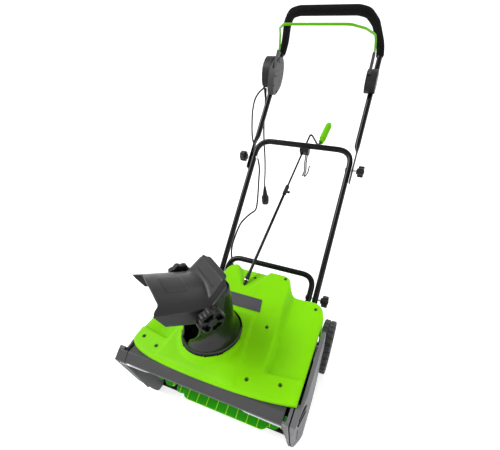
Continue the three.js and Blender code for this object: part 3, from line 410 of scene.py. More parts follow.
pins = dress("plug_pins", pins_bm, steel, "top_handle",
             MACHINE @ Matrix.Translation((LEAD_X - 20, LEAD_Y, 0)), smooth=50)

# ------------------------------------------------------------------ motor cable
# It follows the handle, to which it is tied, and runs past the handle's two folds.
cable_upper = [(-240, -14, 842), (-252, -9, 832), (-266, -4, 819), (-277, 2, 801), (-282, 8, 780),
               (-281, 12, 752), (-277, 14, 725), (-262, 18, 664), (-247, 20, 619), (-226, 22, 579),
               (-206, 22, 544), (-191, 22, 520)]
cable_middle = [(-191, 22, 520), (-175, 22, 484), (-163, 22, 433), (-150, 20, 380), (-140, 20, 331),
                (-139, 20, 300), (-158, 20, 277), (-176, 20, 251), (-190, 21, 221), (-198, 22, 153),
                (-195, 22, 111)]
cable_lower = [(-194.6, 534.2, 288.4), (-181, 506, 262), (-152, 464, 246), (-148, 400, 256), (-148, 346, 268)]
CABLE_STEPS = 5
to_machine = MACHINE.inverted() @ HANDLE
cable_points = flowing([to_machine @ Vector(p) for p in cable_upper + cable_middle[1:]]
                       + [Vector(p) for p in cable_lower[1:]], CABLE_STEPS)


def cable_piece(name, first, last, cad):
    bm = bmesh.new()
    sweep(bm, cable_points[first:last], 3.6, 12)
    obj = dress(name, bm, cable_rubber, "chassis", MACHINE, cad)
    obj.parent = None
    del obj["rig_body"]
    return obj


middle_index = 17 * CABLE_STEPS
upper_cable = cable_piece("motor_cable_above", 0, middle_index + 1, ("motor_cable_upper", "motor_cable_middle"))
lower_cable = cable_piece("motor_cable_below", middle_index, len(cable_points), "motor_cable_lower")
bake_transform(upper_cable)
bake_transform(lower_cable)

# ------------------------------------------------------------------ hood
# The hood is narrower on its left by this share.
LEFT = 0.94
HOOD_HALF = 262
FRONT_RIGHT = [(0, 0), (60, 0.6), (105, 2), (145, 4.4), (175, 7), (205, 10.5), (225, 13.5), (245, 17),
               (262, 21)]
FRONT_EDGE = [(0, 0), (60, 0.6), (105, 2), (145, 4.4), (175, 7), (205, 12), (225, 17), (240, 22), (250, 28),
              (257, 34), (262, 42)]
REAR_EDGE = [(0, 403), (96, 403), (106, 400), (114, 393), (120, 385), (128, 366), (138, 351), (150, 346),
             (202, 344), (222, 341), (236, 335), (246, 327), (252, 318), (256, 305), (262, 288)]
RING_X, RING_Y, RING_R = -35, 132, 87.5


def hood_top(y):
    return 300 + 0.12 * y


# Heights of the lip bar's top edge and of the hood's raised lip round the chute.
LIP_Z, CHUTE_LIP_Z = 267, 318.5


def hood_height(x, y):
    """The hood's skin: ridge, low shoulders, raised platform, notch for the crank and rounded rim."""
    mirror = 1 if x > 0 else LEFT
    half = along([(0, 162), (68, 155), (404, 120)], y)
    side = min(max((abs(x) / mirror - half + 1) / (13 + 9 * ease(240, 340, y)), 0), 1)
    lift = side * ease(0, 13, y - 66 - 18 * (abs(x) - 155) / 165)
    z = hood_top(y) - lift * (10.5 + 9 * ease(240, 170, abs(x)) + 0.02 * (y - 68))
    # Platform round the chute.
    edge_right = along([(0, 102), (79, 89), (216, 66)], y)
    edge_left = along([(0, -156), (40, -148), (230, -136)], y)
    inside = min(ease(0, 9, edge_right - x), ease(0, 9, x - edge_left), ease(0, 10, 231 - 0.05 * (x + 60) - y),
                 ease(0, 14, y - 4))
    z += 2.6 * inside
    # Notch in the ridge's rear.
    notch_left = along([(300, -18), (318, -34), (345, -52), (404, -88)], y)
    notch_right = along([(300, -2), (318, 10), (350, 24), (404, 46)], y)
    depth = min(ease(0, 17, x - notch_left), ease(0, 17, notch_right - x)) * ease(302, 326, y)
    floor = 333 - 0.02 * (y - 330)
    return z - max(z - floor, 0) * depth


def stations(low, high, count, rim=(0, 0.8, 2.2, 4.2, 6.5, 9.5)):
    middle = [low + rim[-1] + (high - low - 2 * rim[-1]) * i / count for i in range(1, count)]
    return [low + r for r in rim] + middle + [high - r for r in reversed(rim)]


def build_hood():
    bm = bmesh.new()
    rim = 7.5
    columns, rows = 116, 92
    xs = stations(-HOOD_HALF * LEFT, HOOD_HALF, columns)
    grid = []
    for x in xs:
        ax = abs(x) / (LEFT if x < 0 else 1)
        front, rear = along(FRONT_EDGE if x < 0 else FRONT_RIGHT, ax), along(REAR_EDGE, ax)
        grid.append([(x, y) for y in stations(front, rear, rows)])
    length = len(grid[0])
    verts = []
    for i, column in enumerate(grid):
        line = []
        for j, (x, y) in enumerate(column):
            off = min(x - xs[0], xs[-1] - x, y - column[0][1], column[-1][1] - y)
            fall = rim - math.sqrt(max(rim * rim - max(rim - off, 0) ** 2, 0))
            z = hood_height(x, y) - fall
            dx, dy = x - RING_X, y - RING_Y
            r = math.hypot(dx, dy)
            # The raised lip round the chute, and its hole.
            z += ease(RING_R + 12, RING_R + 4, r) * max(CHUTE_LIP_Z - z, 0)
            if abs(r - RING_R) < 2.6:
                x, y = RING_X + dx * RING_R / r, RING_Y + dy * RING_R / r
            line.append(bm.verts.new((x, y, z)) if r > RING_R - 2.6 else None)
        verts.append(line)
    for i in range(len(grid) - 1):
        for j in range(length - 1):
            corners = [verts[i][j], verts[i + 1][j], verts[i + 1][j + 1], verts[i][j + 1]]
            if all(corners):
                bm.faces.new(corners)
    # Walls down from the rim: short in front, deep at the rear.
    loop = ([verts[i][0] for i in range(len(grid))] + [verts[-1][j] for j in range(1, length)]
            + [verts[i][-1] for i in range(len(grid) - 2, -1, -1)]
            + [verts[0][j] for j in range(length - 2, 0, -1)])

    def lowest(y):
        return along([(0, 288), (60, 291), (276, 314), (282, 206), (420, 205)], y)

    above = loop
    for share in (0.25, 0.6, 1.0):
        ring = []
        for v in loop:
            bottom = min(lowest(v.co.y), v.co.z - 3)
            ring.append(bm.verts.new((v.co.x, v.co.y, v.co.z + (bottom - v.co.z) * share)))
        for k in range(len(loop)):
            m = (k + 1) % len(loop)
            bm.faces.new((above[k], above[m], ring[m], ring[k]))
        above = ring
    # The hole's edge turns down.
    rim_edges = [e for e in bm.edges if e.is_boundary
                 and all(math.hypot(v.co.x - RING_X, v.co.y - RING_Y) < RING_R + 3 for v in e.verts)]
    made = bmesh.ops.extrude_edge_only(bm, edges=rim_edges)["geom"]
    for v in made:
        if isinstance(v, bmesh.types.BMVert):
            v.co.z -= 7
    return dress("hood_shell", bm, hood_green, "chassis", cad="hood", smooth=55, wall=3)


build_hood()


def screws(name, spots, look, body, place=MACHINE, size=4.6, cad=()):
    """Sunk cross-head screws: a dark dished ring and a head with a cross in it."""
    bm = bmesh.new()
    for origin, direction in spots:
        part = bmesh.new()
        turned(part, [(size + 1.6, -2), (size + 1.6, 0.5), (size + 1.0, 0.9), (size + 0.2, 0.7), (size, -0.9),
                      (size * 0.92, -0.9), (size * 0.8, 0.1), (size * 0.4, 0.55)], 20)
        for turn in (0, math.pi / 2):
            reach = size * 0.6
            slot = ((-reach, -0.5, 0.9), (reach, -0.5, 0.9), (reach, 0.5, 0.9), (-reach, 0.5, 0.9))
            slot_ring = [Matrix.Rotation(turn, 3, "Z") @ Vector(p) for p in slot]
            loft(part, [[p - Vector((0, 0, 1.2)) for p in slot_ring], slot_ring])
        part.transform(aim(origin, direction))
        copy = bpy.data.meshes.new("part")
        part.to_mesh(copy)
        part.free()
        bm.from_mesh(copy)
        bpy.data.meshes.remove(copy)
    return dress(name, bm, look, body, place, cad, smooth=40)


UP = (0, -0.12, 1)
hood_screw_spots = ((-163, 38), (-217, 52), (121, 37), (208, 52), (101, 386), (-6, 369), (230, 312), (112, 194))
screws("hood_screws", [((x, y, hood_height(x, y) + 0.2), UP) for x, y in hood_screw_spots],
       screw_dark, "chassis", size=3.6)
soften("badge_plate", badge, 0.5)

# ------------------------------------------------------------------ housing, lip bar and side plates
soften("auger_housing", shelf_black, 0)
soften("chute_collar", black_plastic, 0.6)
soften("lip_bar", bar_grey, 1.2)
# Its left end laps over the side plate's flange.
end = bmesh.new()
section = [(-21.2, LIP_Z + 0.6), (-21.2, LIP_Z - 9), (-14, LIP_Z - 9), (2, LIP_Z - 7), (4, 286.6), (0.6, 286.6)]
loft(end, [[(x, y, z) for y, z in section] for x in (-271, -238)])
dress("lip_bar_end", end, bar_grey, "chassis", smooth=30, bevel=1.0)
# Bright braces under both ends of the bar, the inner ends pointed.
brace = bmesh.new()
for start, stop in ((-258, -152), (238, 124)):
    path = [(start + (stop - start) * i / 24, -18.9 + 1.5 * i / 24, LIP_Z - 12.2 + 0.5 * i / 24)
            for i in range(25)]
    sweep(brace, path, lambda t: 2.9 - 2.2 * ease(0.8, 1, t), 14)
dress("lip_braces", brace, steel, "chassis", smooth=50)
soften("scraper_bar", black_plastic, 0.6)


def under_bar(x, y, z):
    """The left plate's flange is cut back to pass under the bar's end."""
    return (x, y, min(z, LIP_Z - 1 + (y + 20) * 0.8)) if x < -238 and y < -13 else (x, y, z)


soften("side_plate_left", plate_grey, 1.2, shift=under_bar)
soften("side_plate_right", plate_grey, 1.6)
for side, _ in SIDES:
    soften(f"lip_gusset_{side}", steel, 1.0)
# Black plastic strips along the right plate's grooves: painted shade in the grooves.
groove_shade = bmesh.new()
sweep(groove_shade, [(279.2, 64, 222), (278.7, 52, 231), (275.4, 18, 254), (274.0, 6, 262)], 2.6, 12)
sweep(groove_shade, [(279.2, 66, 186), (278.7, 54, 196), (275.4, 22, 219), (273.6, 4, 231)], 2.6, 12)
dress("plate_groove_shade", groove_shade, black_plastic, "chassis", smooth=60)
soften("motor_bay", shelf_black, 3)

# ------------------------------------------------------------------ auger
AUGER_Y, AUGER_Z, AUGER_R = 95, 112, 91
# Lobes of the paddles' outer edge: from, to, radius and how far their ends are rounded.
LOBES = ((-120, 180, AUGER_R, 24), (-153, -114, 83, 15), (-208, -158, 77, 22), (-236, -213, 70, 11),
         (170, 214, 80, 20), (212, 236, 72, 11))


def paddle_reach(x):
    best = 44
    for start, end, radius, rounding in LOBES:
        inside = min(x - start, end - x)
        if inside >= 0:
            t = max(rounding - inside, 0) / rounding
            best = max(best, radius - rounding * (1 - math.sqrt(max(1 - t * t, 0))))
    return best


def paddle_turn(x):
    return math.radians(17 + 8 * ease(0, 60, abs(x - 20) - 130))


def auger():
    """Two paddles, straight in the middle and swept back at the ends, with stiffening ribs."""
    bm = bmesh.new()
    thickness = ((0.14, 6), (0.35, 5), (0.6, 4), (0.8, 3), (0.95, 2.2), (1.0, 1.0))

    def bow(share):
        return 9 * share * share - 4

    def tilted(x, y, z):
        c, s = math.cos(paddle_turn(x)), math.sin(paddle_turn(x))
        return x, y * c - z * s, y * s + z * c

    def section(x, flip, spread):
        reach = paddle_reach(x)
        half = [(share * reach, bow(share) + w + spread) for share, w in thickness]
        other = [(share * reach, bow(share) - w - spread) for share, w in reversed(thickness)]
        return [tilted(x, flip * along_blade, flip * off) for along_blade, off in half + other]

    edges = bmesh.new()
    for flip in (1, -1):
        loft(bm, [section(-232 + 464 * i / 160, flip, 0) for i in range(161)])
        for k in range(-5, 7):
            x = 8 + k * 35
            if paddle_reach(x) > 60:
                slices = [(-1.9, 1.4), (-1.1, 3.6), (1.1, 3.6), (1.9, 1.4)]
                loft(edges, [section(x + dx, flip, spread) for dx, spread in slices])
        tip = []
        for i in range(101):
            x = -118 + 296 * i / 100
            tip.append(tilted(x, flip * (paddle_reach(x) - 0.4), flip * bow(1)))
        sweep(edges, tip, 1.5, 10)
    sweep(bm, [(-225, 0, 0), (225, 0, 0)], 17, 32)
    place = MACHINE @ Matrix.Translation((0, AUGER_Y, AUGER_Z))
    # The ribs and edge beads wear the lighter green, a painted highlight.
    dress("auger_ribs", edges, auger_painted_highlight, "auger", place, smooth=40)
    return dress("auger_paddles", bm, auger_green, "auger", place, "auger_rotor", smooth=40)


auger()
soften("auger_shaft", steel, 0.6)
for side, _ in SIDES:
    soften(f"auger_bearing_{side}", steel, 0.5)

# ------------------------------------------------------------------ chute
def chute_neck():
    """A round neck that runs into a square trough, open towards the throw, on its spigot and ring gear."""
    bm = bmesh.new()
    teeth = bmesh.new()
    toothed = lambda a: 91.2 + 1.3 * math.cos(44 * a)
    profile = ((toothed, 266), (toothed, 276), (78, 276), (78, 266))
    loft(teeth, [around(r, 176, z) for r, z in profile], caps=False, loop=True)
    dress("chute_ring_gear", teeth, black_plastic, "chute", CHUTE, smooth=30)
    hoop(bm, [(76.5, 262), (84, 262), (84, 318), (86.3, 319.5), (86.6, 321.5), (84.5, 323), (82.6, 325),
              (81.6, 331), (78, 331), (76.5, 320)], 96)
    dress("chute_spigot", bm, neck_plastic, "chute", CHUTE, smooth=50)

    def radius(z):
        return along([(322, 83), (331, 81.5), (357, 71.5), (380, 67.5), (401, 65), (520, 62)], z)

    def open_at(z):
        """How far forward the wall reaches: the opening widens upwards."""
        return along([(331, 79), (341, 76), (361, 67), (381, 59), (401, 51), (421, 45), (441, 36), (460, 34),
                      (520, 34)], z)

    def round_arc(r, s, z):
        a0 = -math.asin(min(open_at(z) / r, 0.985))
        a = a0 + (math.pi - 2 * a0) * s
        return r * math.cos(a), r * math.sin(a)

    def trough(s, front):
        half, rear, corner = 60.5, 58, 24
        straight, quarter, flat = rear - corner + front, math.pi / 2 * corner, 2 * (half - corner)
        total = 2 * straight + 2 * quarter + flat
        d = s * total
        if d < straight:
            return half, d - front
        d -= straight
        if d < quarter:
            a = d / corner
            return half - corner + corner * math.cos(a), rear - corner + corner * math.sin(a)
        d -= quarter
        if d < flat:
            return half - corner - d, rear
        d -= flat
        if d < quarter:
            a = math.pi / 2 + d / corner
            return -half + corner + corner * math.cos(a), rear - corner + corner * math.sin(a)
        return -half, rear - corner - (d - quarter)

    neck = bmesh.new()
    rings = []
    levels = [328, 333, 340, 348, 356, 365, 375, 385, 396, 410, 425, 440, 455, 470, 485, None]
    for z in levels:
        ring = []
        for k in range(61):
            s = k / 60
            height = z
            if z is None:
                y = trough(s, 34)[1]
                height = along([(-34, 490), (-29, 497), (14, 498), (30, 505), (60, 505)], y)
            blend = ease(345, 415, height)
            (a, b), (c, d) = round_arc(radius(height), s, height), trough(s, open_at(height))
            ring.append((a + (c - a) * blend, b + (d - b) * blend, height))
        rings.append(ring)
    loft(neck, rings, closed=False)
    dress("chute_neck", neck, neck_plastic, "chute", CHUTE, "chute_base", smooth=60, wall=3.5)


chute_neck()

DEFLECTOR_FRONT, DEFLECTOR_REAR = -128, 52


def roof(share, y):
    """The height of the deflector's skin; share is 0 in the middle and 1 at the side."""
    dome = 497 + 0.43 * (-8 - y) + 26 * (1 - share ** 2.2)
    border = max(ease(0.78, 0.96, share), ease(DEFLECTOR_REAR - 15, DEFLECTOR_REAR - 2, y))
    tray = 507 + 0.78 * (y + 8) - 12 * border
    return (dome + tray + math.sqrt((dome - tray) ** 2 + 36)) / 2 - 1


def half_width(y):
    return 79 * (1 - 0.1 * min(max((y + 12) / 64, 0), 1))


def deflector():
    """Domed roof with skirts, a lip along its edge and a raised tail with cut corners."""
    shares = [0, 0.1, 0.2, 0.3, 0.4, 0.5, 0.58, 0.64, 0.7, 0.76, 0.82, 0.87, 0.91, 0.94, 0.965, 0.985, 1.0]
    lip = [(1.1, 0.8), (1.3, 2.0), (0.9, 3.2), (-0.7, 4.0)]
    skirt = [0.12, 0.3, 0.55, 0.8, 1.0]
    steps = 60
    rings = []
    for i in range(steps + 1):
        t = i / steps
        half = []
        for share in shares:
            front = -108 - 15 * ease(0.7, 0.97, share)
            rear = DEFLECTOR_REAR - 16 * max(share - 0.62, 0) / 0.38
            y = front + (rear - front) * t
            half.append((share * half_width(y), y, roof(share, y)))
        rear = DEFLECTOR_REAR - 16
        front = DEFLECTOR_FRONT + 2
        y = front + (rear - front) * t
        edge, width = roof(1, y), half_width(y)
        for out, drop in lip:
            half.append((width + out, y, edge - drop))
        for share in skirt:
            front = DEFLECTOR_FRONT + 2 + 13 * share
            y = front + (rear - front) * t
            tail = min(max((y + 12) / 52, 0), 1)
            drop = 4.4 + (31 + 0.17 * (y + 128) + 10 * tail) * share
            half.append((half_width(y) - 1 + 3 * share * tail, y - 20 * tail * share, roof(1, y) - drop))
        rings.append([(-x, y, z) for x, y, z in reversed(half[1:])] + half)
    bm = bmesh.new()
    loft(bm, rings, closed=False)
    dress("deflector_shell", bm, chute_plastic, "chute_deflector", CHUTE, "deflector", smooth=60, wall=3.5)
    # A straight bead across the foot of the tail.
    bead = bmesh.new()
    bead_line = [(x, 14, roof(0.6, 14) + 0.4) for x in (-46, -43, 43, 46)]
    sweep(bead, bead_line, lambda s: 1.7 if 0 < s < 1 else 0.5, 10)
    dress("deflector_bead", bead, chute_plastic, "chute_deflector", CHUTE, smooth=50)
    # A plain raised panel on the dome.
    panel = bmesh.new()
    rings = []
    for i in range(15):
        y = -86 + 52 * i / 14
        ring = []
        for k in range(21):
            x = -30 + 66 * k / 20
            edge = min(i, 14 - i, k, 20 - k)
            ring.append((x, y, roof(abs(x) / half_width(y), y) + (0.7 if edge > 0 else -0.4)))
        rings.append(ring)
    loft(panel, rings, closed=False)
    dress("deflector_panel", panel, chute_plastic, "chute_deflector", CHUTE, smooth=60)


deflector()


# ------------------------------------------------------------------ star knobs
def star_knob(name, radius, depth, place, body, cad, bolt, lobes=8):
    """A star knob with wedge pockets in its face; local +Z points out, z 0 is the back of the grip."""
    bm = bmesh.new()
    cols = 8
    n = lobes * cols

    def ring(r, z, star=1.0):
        wave = 0.07 * star
        return around(lambda a: r * (1 - wave + wave * math.cos(lobes * a)), n, z, -math.pi / lobes)

    outer = [ring(radius * 0.5, -6, 0), ring(radius * 0.52, -1, 0), ring(radius * 0.9, 0),
             ring(radius * 0.985, 1.4), ring(radius, 3.5), ring(radius, depth - 3),
             ring(radius * 0.975, depth - 1), ring(radius * 0.93, depth), ring(radius * 0.84, depth, 0.8)]
    grid = loft(bm, outer, caps=False)
    bm.faces.new(list(reversed(grid[0])))
    rims = [ring(radius * 0.8, depth, 0.3), ring(radius * 0.36, depth, 0)]
    top, inner = [[bm.verts.new(p) for p in r] for r in rims]
    sunk = depth * 0.45
    low_out = [bm.verts.new((v.co.x * 0.96, v.co.y * 0.96, depth - sunk)) for v in top]
    low_in = [bm.verts.new((v.co.x * 1.08, v.co.y * 1.08, depth - sunk)) for v in inner]
    last = grid[-1]
    for i in range(n):
        j = (i + 1) % n
        bm.faces.new((last[i], last[j], top[j], top[i]))
        k = i % (2 * cols)
        if k in (0, 1, 14, 15):
            bm.faces.new((top[i], top[j], inner[j], inner[i]))
            continue
        bm.faces.new((low_out[i], low_out[j], low_in[j], low_in[i]))
        bm.faces.new((top[i], top[j], low_out[j], low_out[i]))
        bm.faces.new((low_in[i], low_in[j], inner[j], inner[i]))
        if k == 2:
            bm.faces.new((top[i], low_out[i], low_in[i], inner[i]))
        if k == 13:
            bm.faces.new((top[j], inner[j], low_in[j], low_out[j]))
    crown = ((0.33, 1.6), (0.28, 2.2))
    cap = [inner] + [[bm.verts.new(p) for p in ring(radius * k, depth + h, 0)] for k, h in crown]
    for a, b in zip(cap, cap[1:]):
        for i in range(n):
            j = (i + 1) % n
            bm.faces.new((a[i], a[j], b[j], b[i]))
    bm.faces.new(cap[-1])
    for v in [v for v in bm.verts if not v.link_faces]:
        bm.verts.remove(v)
    dress(name, bm, knob_plastic, body, place, cad, smooth=38, bevel=0.5, segments=2)
    shank = bmesh.new()
    turned(shank, [(5.5, -bolt - 3), (8, -bolt - 2), (8, -bolt), (4, -bolt), (4, 1)], 20)
    dress(name + "_bolt", shank, steel, body, place, smooth=40)


star_knob("deflector_star_right", 33, 22, CHUTE @ aim((90, -23, 485), (1, 0, 0)),
          "right_deflector_knob", "deflector_knob_right", 33.6)
star_knob("deflector_star_left", 32, 17, CHUTE @ aim((-86, -23, 485), (-1, 0, 0)),
          "left_deflector_knob", "deflector_knob_left", 29.6)
for side, sign in SIDES:
    star_knob(f"lower_star_{side}", 22, 22, HANDLE @ aim((sign * 228, 0, 0), (sign, 0, 0)),
              f"{side}_lower_knob", f"lower_knob_{side}", 62)
    star_knob(f"upper_star_{side}", 22, 22, HANDLE @ aim((sign * 240, 0, 520), (sign, 0, 0)),
              f"{side}_upper_knob", f"upper_knob_{side}", 49)

# ------------------------------------------------------------------ handle
TUBE_R = 11
LOWER_LEG_X, MIDDLE_LEG_X, UPPER_LEG_X = 177, 202, 213


def mirrored(points):
    return points + [(-x, y, z) for x, y, z in reversed(points)]


lower_path = bent(mirrored([(LOWER_LEG_X, 0, -116), (LOWER_LEG_X, 0, 82)]), 48)
pipe("lower_tube", lower_path, TUBE_R, handle_paint, "chassis", HANDLE, "lower_handle", 28)
middle_path = bent(mirrored([(MIDDLE_LEG_X, 0, -26), (MIDDLE_LEG_X, 0, 600)]), 62)
pipe("middle_tube", middle_path, TUBE_R, handle_paint, "folding_handle", HANDLE, "middle_handle", 28)

grip_half = [(UPPER_LEG_X, 0, 1010), (207, -8, 1060), (178, -92, 1068), (150, -136, 1062), (112, -146, 1060)]


def upper_tube():
    bm = bmesh.new()
    straight = [(UPPER_LEG_X, 0, 470 + 10 * i) for i in range(20)]
    path = bent(mirrored(straight[:1] + grip_half), 30)
    extra = [Vector(p) for p in straight]
    path = extra + path[1:-1] + [Vector((-p.x, p.y, p.z)) for p in reversed(extra)]
    sweep(bm, path, TUBE_R, 28)
    for v in bm.verts:
        # Pressed flat beside the middle handle, where the two are bolted together.
        flat = 1 - ease(590, 625, v.co.z)
        if flat > 0:
            sign = 1 if v.co.x > 0 else -1
            across = abs(v.co.x) - UPPER_LEG_X
            v.co.x = sign * (UPPER_LEG_X + across + flat * (5.2 + across * 0.34 - across))
            v.co.y *= 1 + 0.25 * flat
    dress("upper_tube", bm, handle_paint, "top_handle", HANDLE, "upper_handle")


upper_tube()


def eased(path, rounds):
    """The path in 5 mm steps, its corners rounded by averaging neighbours."""
    dense = []
    for a, b in zip(path, path[1:]):
        count = max(int((b - a).length / 5), 1)
        dense += [a + (b - a) * k / count for k in range(count)]
    dense.append(path[-1])
    for _ in range(rounds):
        inner = [(a + 2 * b + c) / 4 for a, b, c in zip(dense, dense[1:], dense[2:])]
        dense = [dense[0]] + inner + [dense[-1]]
    return dense


def foam():
    dense = eased(bent(mirrored([(UPPER_LEG_X, 0, 1017)] + grip_half[1:]), 34, 12), 30)
    bm = bmesh.new()
    ends = lambda s: 15.9 - 2.6 * (1 - ease(0, 0.006, s)) - 2.6 * ease(0.994, 1, s)
    sweep(bm, dense, ends, 32)
    obj = dress("foam_sleeve", bm, grip_foam, "top_handle", HANDLE, "grip_foam", smooth=60)


foam()

# Plastic plugs close the open ends of the two folding tubes.
caps = bmesh.new()
for sign in (-1, 1):
    sweep(caps, [(sign * MIDDLE_LEG_X, 0, z) for z in (-31, -29.5, -26, -20)],
          lambda s: 9.6 if s == 0 else TUBE_R + 0.2 if s < 0.9 else 9, 24)
dress("middle_tube_plugs", caps, black_plastic, "folding_handle", HANDLE, smooth=50)

for side, _ in SIDES:
    soften(f"handle_socket_{side}", black_plastic, 2.5)


# ------------------------------------------------------------------ switch box, bail and crank parts
def tapered(x, y, z):
    """The switch box narrows towards its lower end."""
    spot = HANDLE.inverted() @ (MACHINE @ Vector((x, y, z)))
    below = min(max((886 - spot.z) / 84, 0), 1)
    spot.y = -22 + (spot.y + 22) * (1 - 0.3 * below)
    return MACHINE.inverted() @ (HANDLE @ spot)


soften("switch_housing_outer", switch_dark, 4, segments=4, shift=tapered)
soften("switch_housing_inner", switch_plastic, 2.4, segments=4, shift=tapered)
switch_screw_spots = ((-52, 928), (10, 928), (-50, 862), (-2, 830), (-42, 826))
screws("switch_screws", [((-185.8, y, z), (1, 0, 0)) for y, z in switch_screw_spots],
       screw_dark, "top_handle", HANDLE, size=2.6)
soften("bail_bracket", switch_dark, 8, segments=5)
soften("lock_button", accent_green, 1.2)
for side, _ in SIDES:
    soften(f"bail_lever_{side}", switch_plastic, 1.4)

bail_half = [(196, -64, 950), (196, -64, 982), (190, -104, 1004), (160, -172, 954), (118, -228, 906)]
pipe("bail_bar", eased(bent(mirrored(bail_half), 22, 10), 14), 4, bail_paint, "bail", HANDLE, "bail_rod", 16)

ROD_SPLIT = 0.7 * CRANK_LENGTH
pipe("crank_rod_below", [(0, 0, -104), (0, 0, ROD_SPLIT - 34)], 5.5, handle_paint, "lower_crank", CRANK,
     "crank_lower_rod", 20)
coupling = bmesh.new()
turned(coupling, [(6.2, 14), (7.4, 15.5), (7.4, 30), (6.6, 32), (6.6, 35), (5.7, 37)], 24)
dress("crank_coupling", coupling, black_plastic, "lower_crank", CRANK, smooth=40)
collar = bmesh.new()
turned(collar, [(7.6, 8), (9.4, 8.6), (9.4, 11.4), (7.6, 12)], 28)
block(collar, (-1.2, 7, 7.4), (1.2, 14, 12.6))
dress("crank_collar", collar, steel, "lower_crank", CRANK, smooth=40, bevel=0.3)
soften("crank_sleeve", black_plastic, 0.8)

GRIP_FROM, GRIP_TO = Vector((56, 7, CRANK_LENGTH + 72)), Vector((62, 0, CRANK_LENGTH + 177))
grip_axis = (GRIP_TO - GRIP_FROM).normalized()
rod_corners = [(0, 0, ROD_SPLIT), (0, 0, CRANK_LENGTH + 107), (45, 9, CRANK_LENGTH + 57),
               GRIP_FROM - grip_axis * 8, GRIP_TO]
pipe("crank_rod_above", bent(rod_corners, 9), 4, handle_paint, "upper_crank", CRANK, "crank_upper_rod", 16)
grip = bmesh.new()
profile = [(7.5, -1), (9.2, 0), (9.2, 9), (8.4, 10.5), (8.4, 12.5), (10.6, 14.5)]
for i in range(11):
    z = 18 + i * 6.6
    profile += [(11.3, z), (11.5, z + 1.4), (11.5, z + 4.2), (11.1, z + 5.4)]
profile += [(11.0, 92), (10.2, 98), (8.6, 102.5), (6, 105), (2, 106)]
turned(grip, [(1.22 * r, z) for r, z in profile], 28)
dress("crank_handgrip", grip, accent_green, "crank_knob", CRANK @ aim(GRIP_FROM, grip_axis), "crank_grip",
      smooth=50)

soften("crank_guide", black_plastic, 1.6)
guide = HANDLE.inverted() @ (MACHINE @ CRANK_TOP)
hook_x = guide.x + 19
hook = bmesh.new()
for offset in (0, 6.4):
    wire = [(hook_x + offset, 6, 573), (hook_x + 5 + offset, 4, 530), (hook_x + 14 + offset, 2, 492),
            (hook_x + 12 + offset, -2, 468)]
    if offset:
        wire += [(hook_x + 25, -9, 464), (hook_x + 34, -14, 478), (hook_x + 34, -16, 508)]
    sweep(hook, bent(wire, 14), 2.6, 12)
dress("hook_wire", hook, handle_paint, "folding_handle", HANDLE, "cord_hook")

# ------------------------------------------------------------------ wheels
WHEEL_X, WHEEL_Y, WHEEL_R = 277, 347, 98


def tyre(side, sign):
    """A lugged tyre with its hub cap, and the wheel behind it."""
    place = MACHINE @ aim((sign * WHEEL_X, WHEEL_Y, WHEEL_R), (sign, 0, 0))
    bm = bmesh.new()
    lugs, per = 26, 6
    count = lugs * per
    rings = []
    for i in range(count):
        a = 2 * math.pi * i / count

        def lug(shift):
            return 1.0 if ((i + shift) % per) < per * 0.62 else 0.0

        near, far = lug(0), lug(per // 2)
        lug_height = 4.5
        base = WHEEL_R - lug_height
        near_top, far_top = base + lug_height * near, base + lug_height * far
        section = [(81.2, -19), (86, -21.5), (91, -22), (base, -21.4 + 0.4 * near), (near_top, -18.6),
                   (near_top, -2.4), (base, -1.0), (base, 1.0), (far_top, 2.4), (far_top, 18.6),
                   (base, 21.4 - 0.4 * far), (91, 22), (86, 21.5), (81.2, 19)]
        rings.append([(r * math.cos(a), r * math.sin(a), z) for r, z in section])
    loft(bm, rings, loop=True)
    dress(f"tyre_{side}_tread", bm, tyre_rubber, f"{side}_wheel",
          place, f"tyre_{side}", smooth=28)
    cap = bmesh.new()
    turned(cap, [(17, 14), (17, 18.5), (15, 21), (8, 22)], 28)
    dress(f"hub_cap_{side}", cap, black_plastic, f"{side}_wheel",
          place, smooth=40)
    soften(f"wheel_{side}", wheel_hub, 1.6)


for side, sign in SIDES:
    tyre(side, sign)
soften("axle", steel, 0.6)

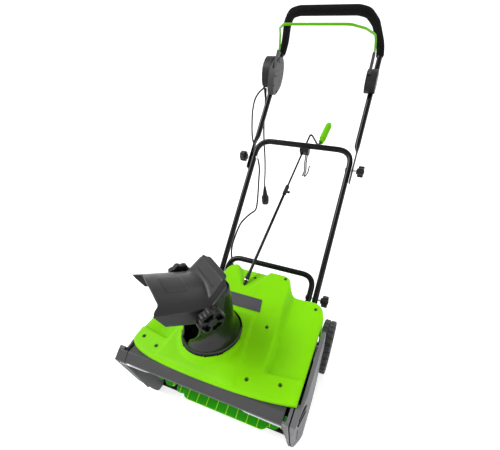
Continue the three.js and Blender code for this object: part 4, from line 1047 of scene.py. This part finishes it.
# ------------------------------------------------------------------ CAD nodes that stay as they are
for name, look in (("motor", steel), ("motor_mount", steel), ("motor_shaft_pulley", steel),
                   ("auger_pulley", black_plastic), ("drive_belt", belt_rubber),
                   ("crank_pinion", black_plastic)):
    data = nodes[name].data
    data.materials.clear()
    data.materials.append(look.material)

# ------------------------------------------------------------------ floor and light
paper = Look("badge", "CDCDCD", 0.9, grain=4, bump=0.02, mottle=0.01, specular=0.05, name="backdrop_paper")
glow = paper.material.node_tree.nodes["Principled BSDF"]
glow.inputs["Emission Color"].default_value = (1, 1, 1, 1)
glow.inputs["Emission Strength"].default_value = 0.62
sweep_floor = bmesh.new()
bowl = ((0.001, 0), (3, 0), (8, 0), (9.6, 0.3), (11, 1.2), (11.8, 2.6), (12, 4.5), (12, 9))
loft(sweep_floor, [around(radius, 96, height) for radius, height in bowl], caps=False)
floor_data = bpy.data.meshes.new("backdrop")
sweep_floor.to_mesh(floor_data)
sweep_floor.free()
floor_data.materials.append(paper.material)
floor_data.shade_smooth()
backdrop = bpy.data.objects.new("backdrop", floor_data)
bpy.context.scene.collection.objects.link(backdrop)

world = bpy.data.worlds.new("studio")
bpy.context.scene.world = world
world.use_nodes = True
world.node_tree.nodes["Background"].inputs["Color"].default_value = (1, 1, 1, 1)
world.node_tree.nodes["Background"].inputs["Strength"].default_value = 0.6


def lamp(name, place, target, size, power):
    data = bpy.data.lights.new(name, "AREA")
    data.size, data.energy = size, power
    obj = bpy.data.objects.new(name, data)
    bpy.context.scene.collection.objects.link(obj)
    obj.location = place
    obj.visible_camera = False
    obj.rotation_mode = "QUATERNION"
    obj.rotation_quaternion = (Vector(place) - Vector(target)).to_track_quat("Z", "Y")


sun = bpy.data.objects.new("sun", bpy.data.lights.new("sun", "SUN"))
sun.data.energy, sun.data.angle = 2.6, math.radians(30)
sun.rotation_mode = "QUATERNION"
sun.rotation_quaternion = Vector((-0.62, -0.12, 0.78)).to_track_quat("Z", "Y")
bpy.context.scene.collection.objects.link(sun)
lamp("fill", (1.9, -1.6, 1.7), (0, -0.1, 0.3), 1.4, 4)
lamp("rim", (0.6, 2.4, 2.4), (0, 0.2, 0.5), 1.4, 16)
bpy.context.scene.view_settings.view_transform = "Standard"
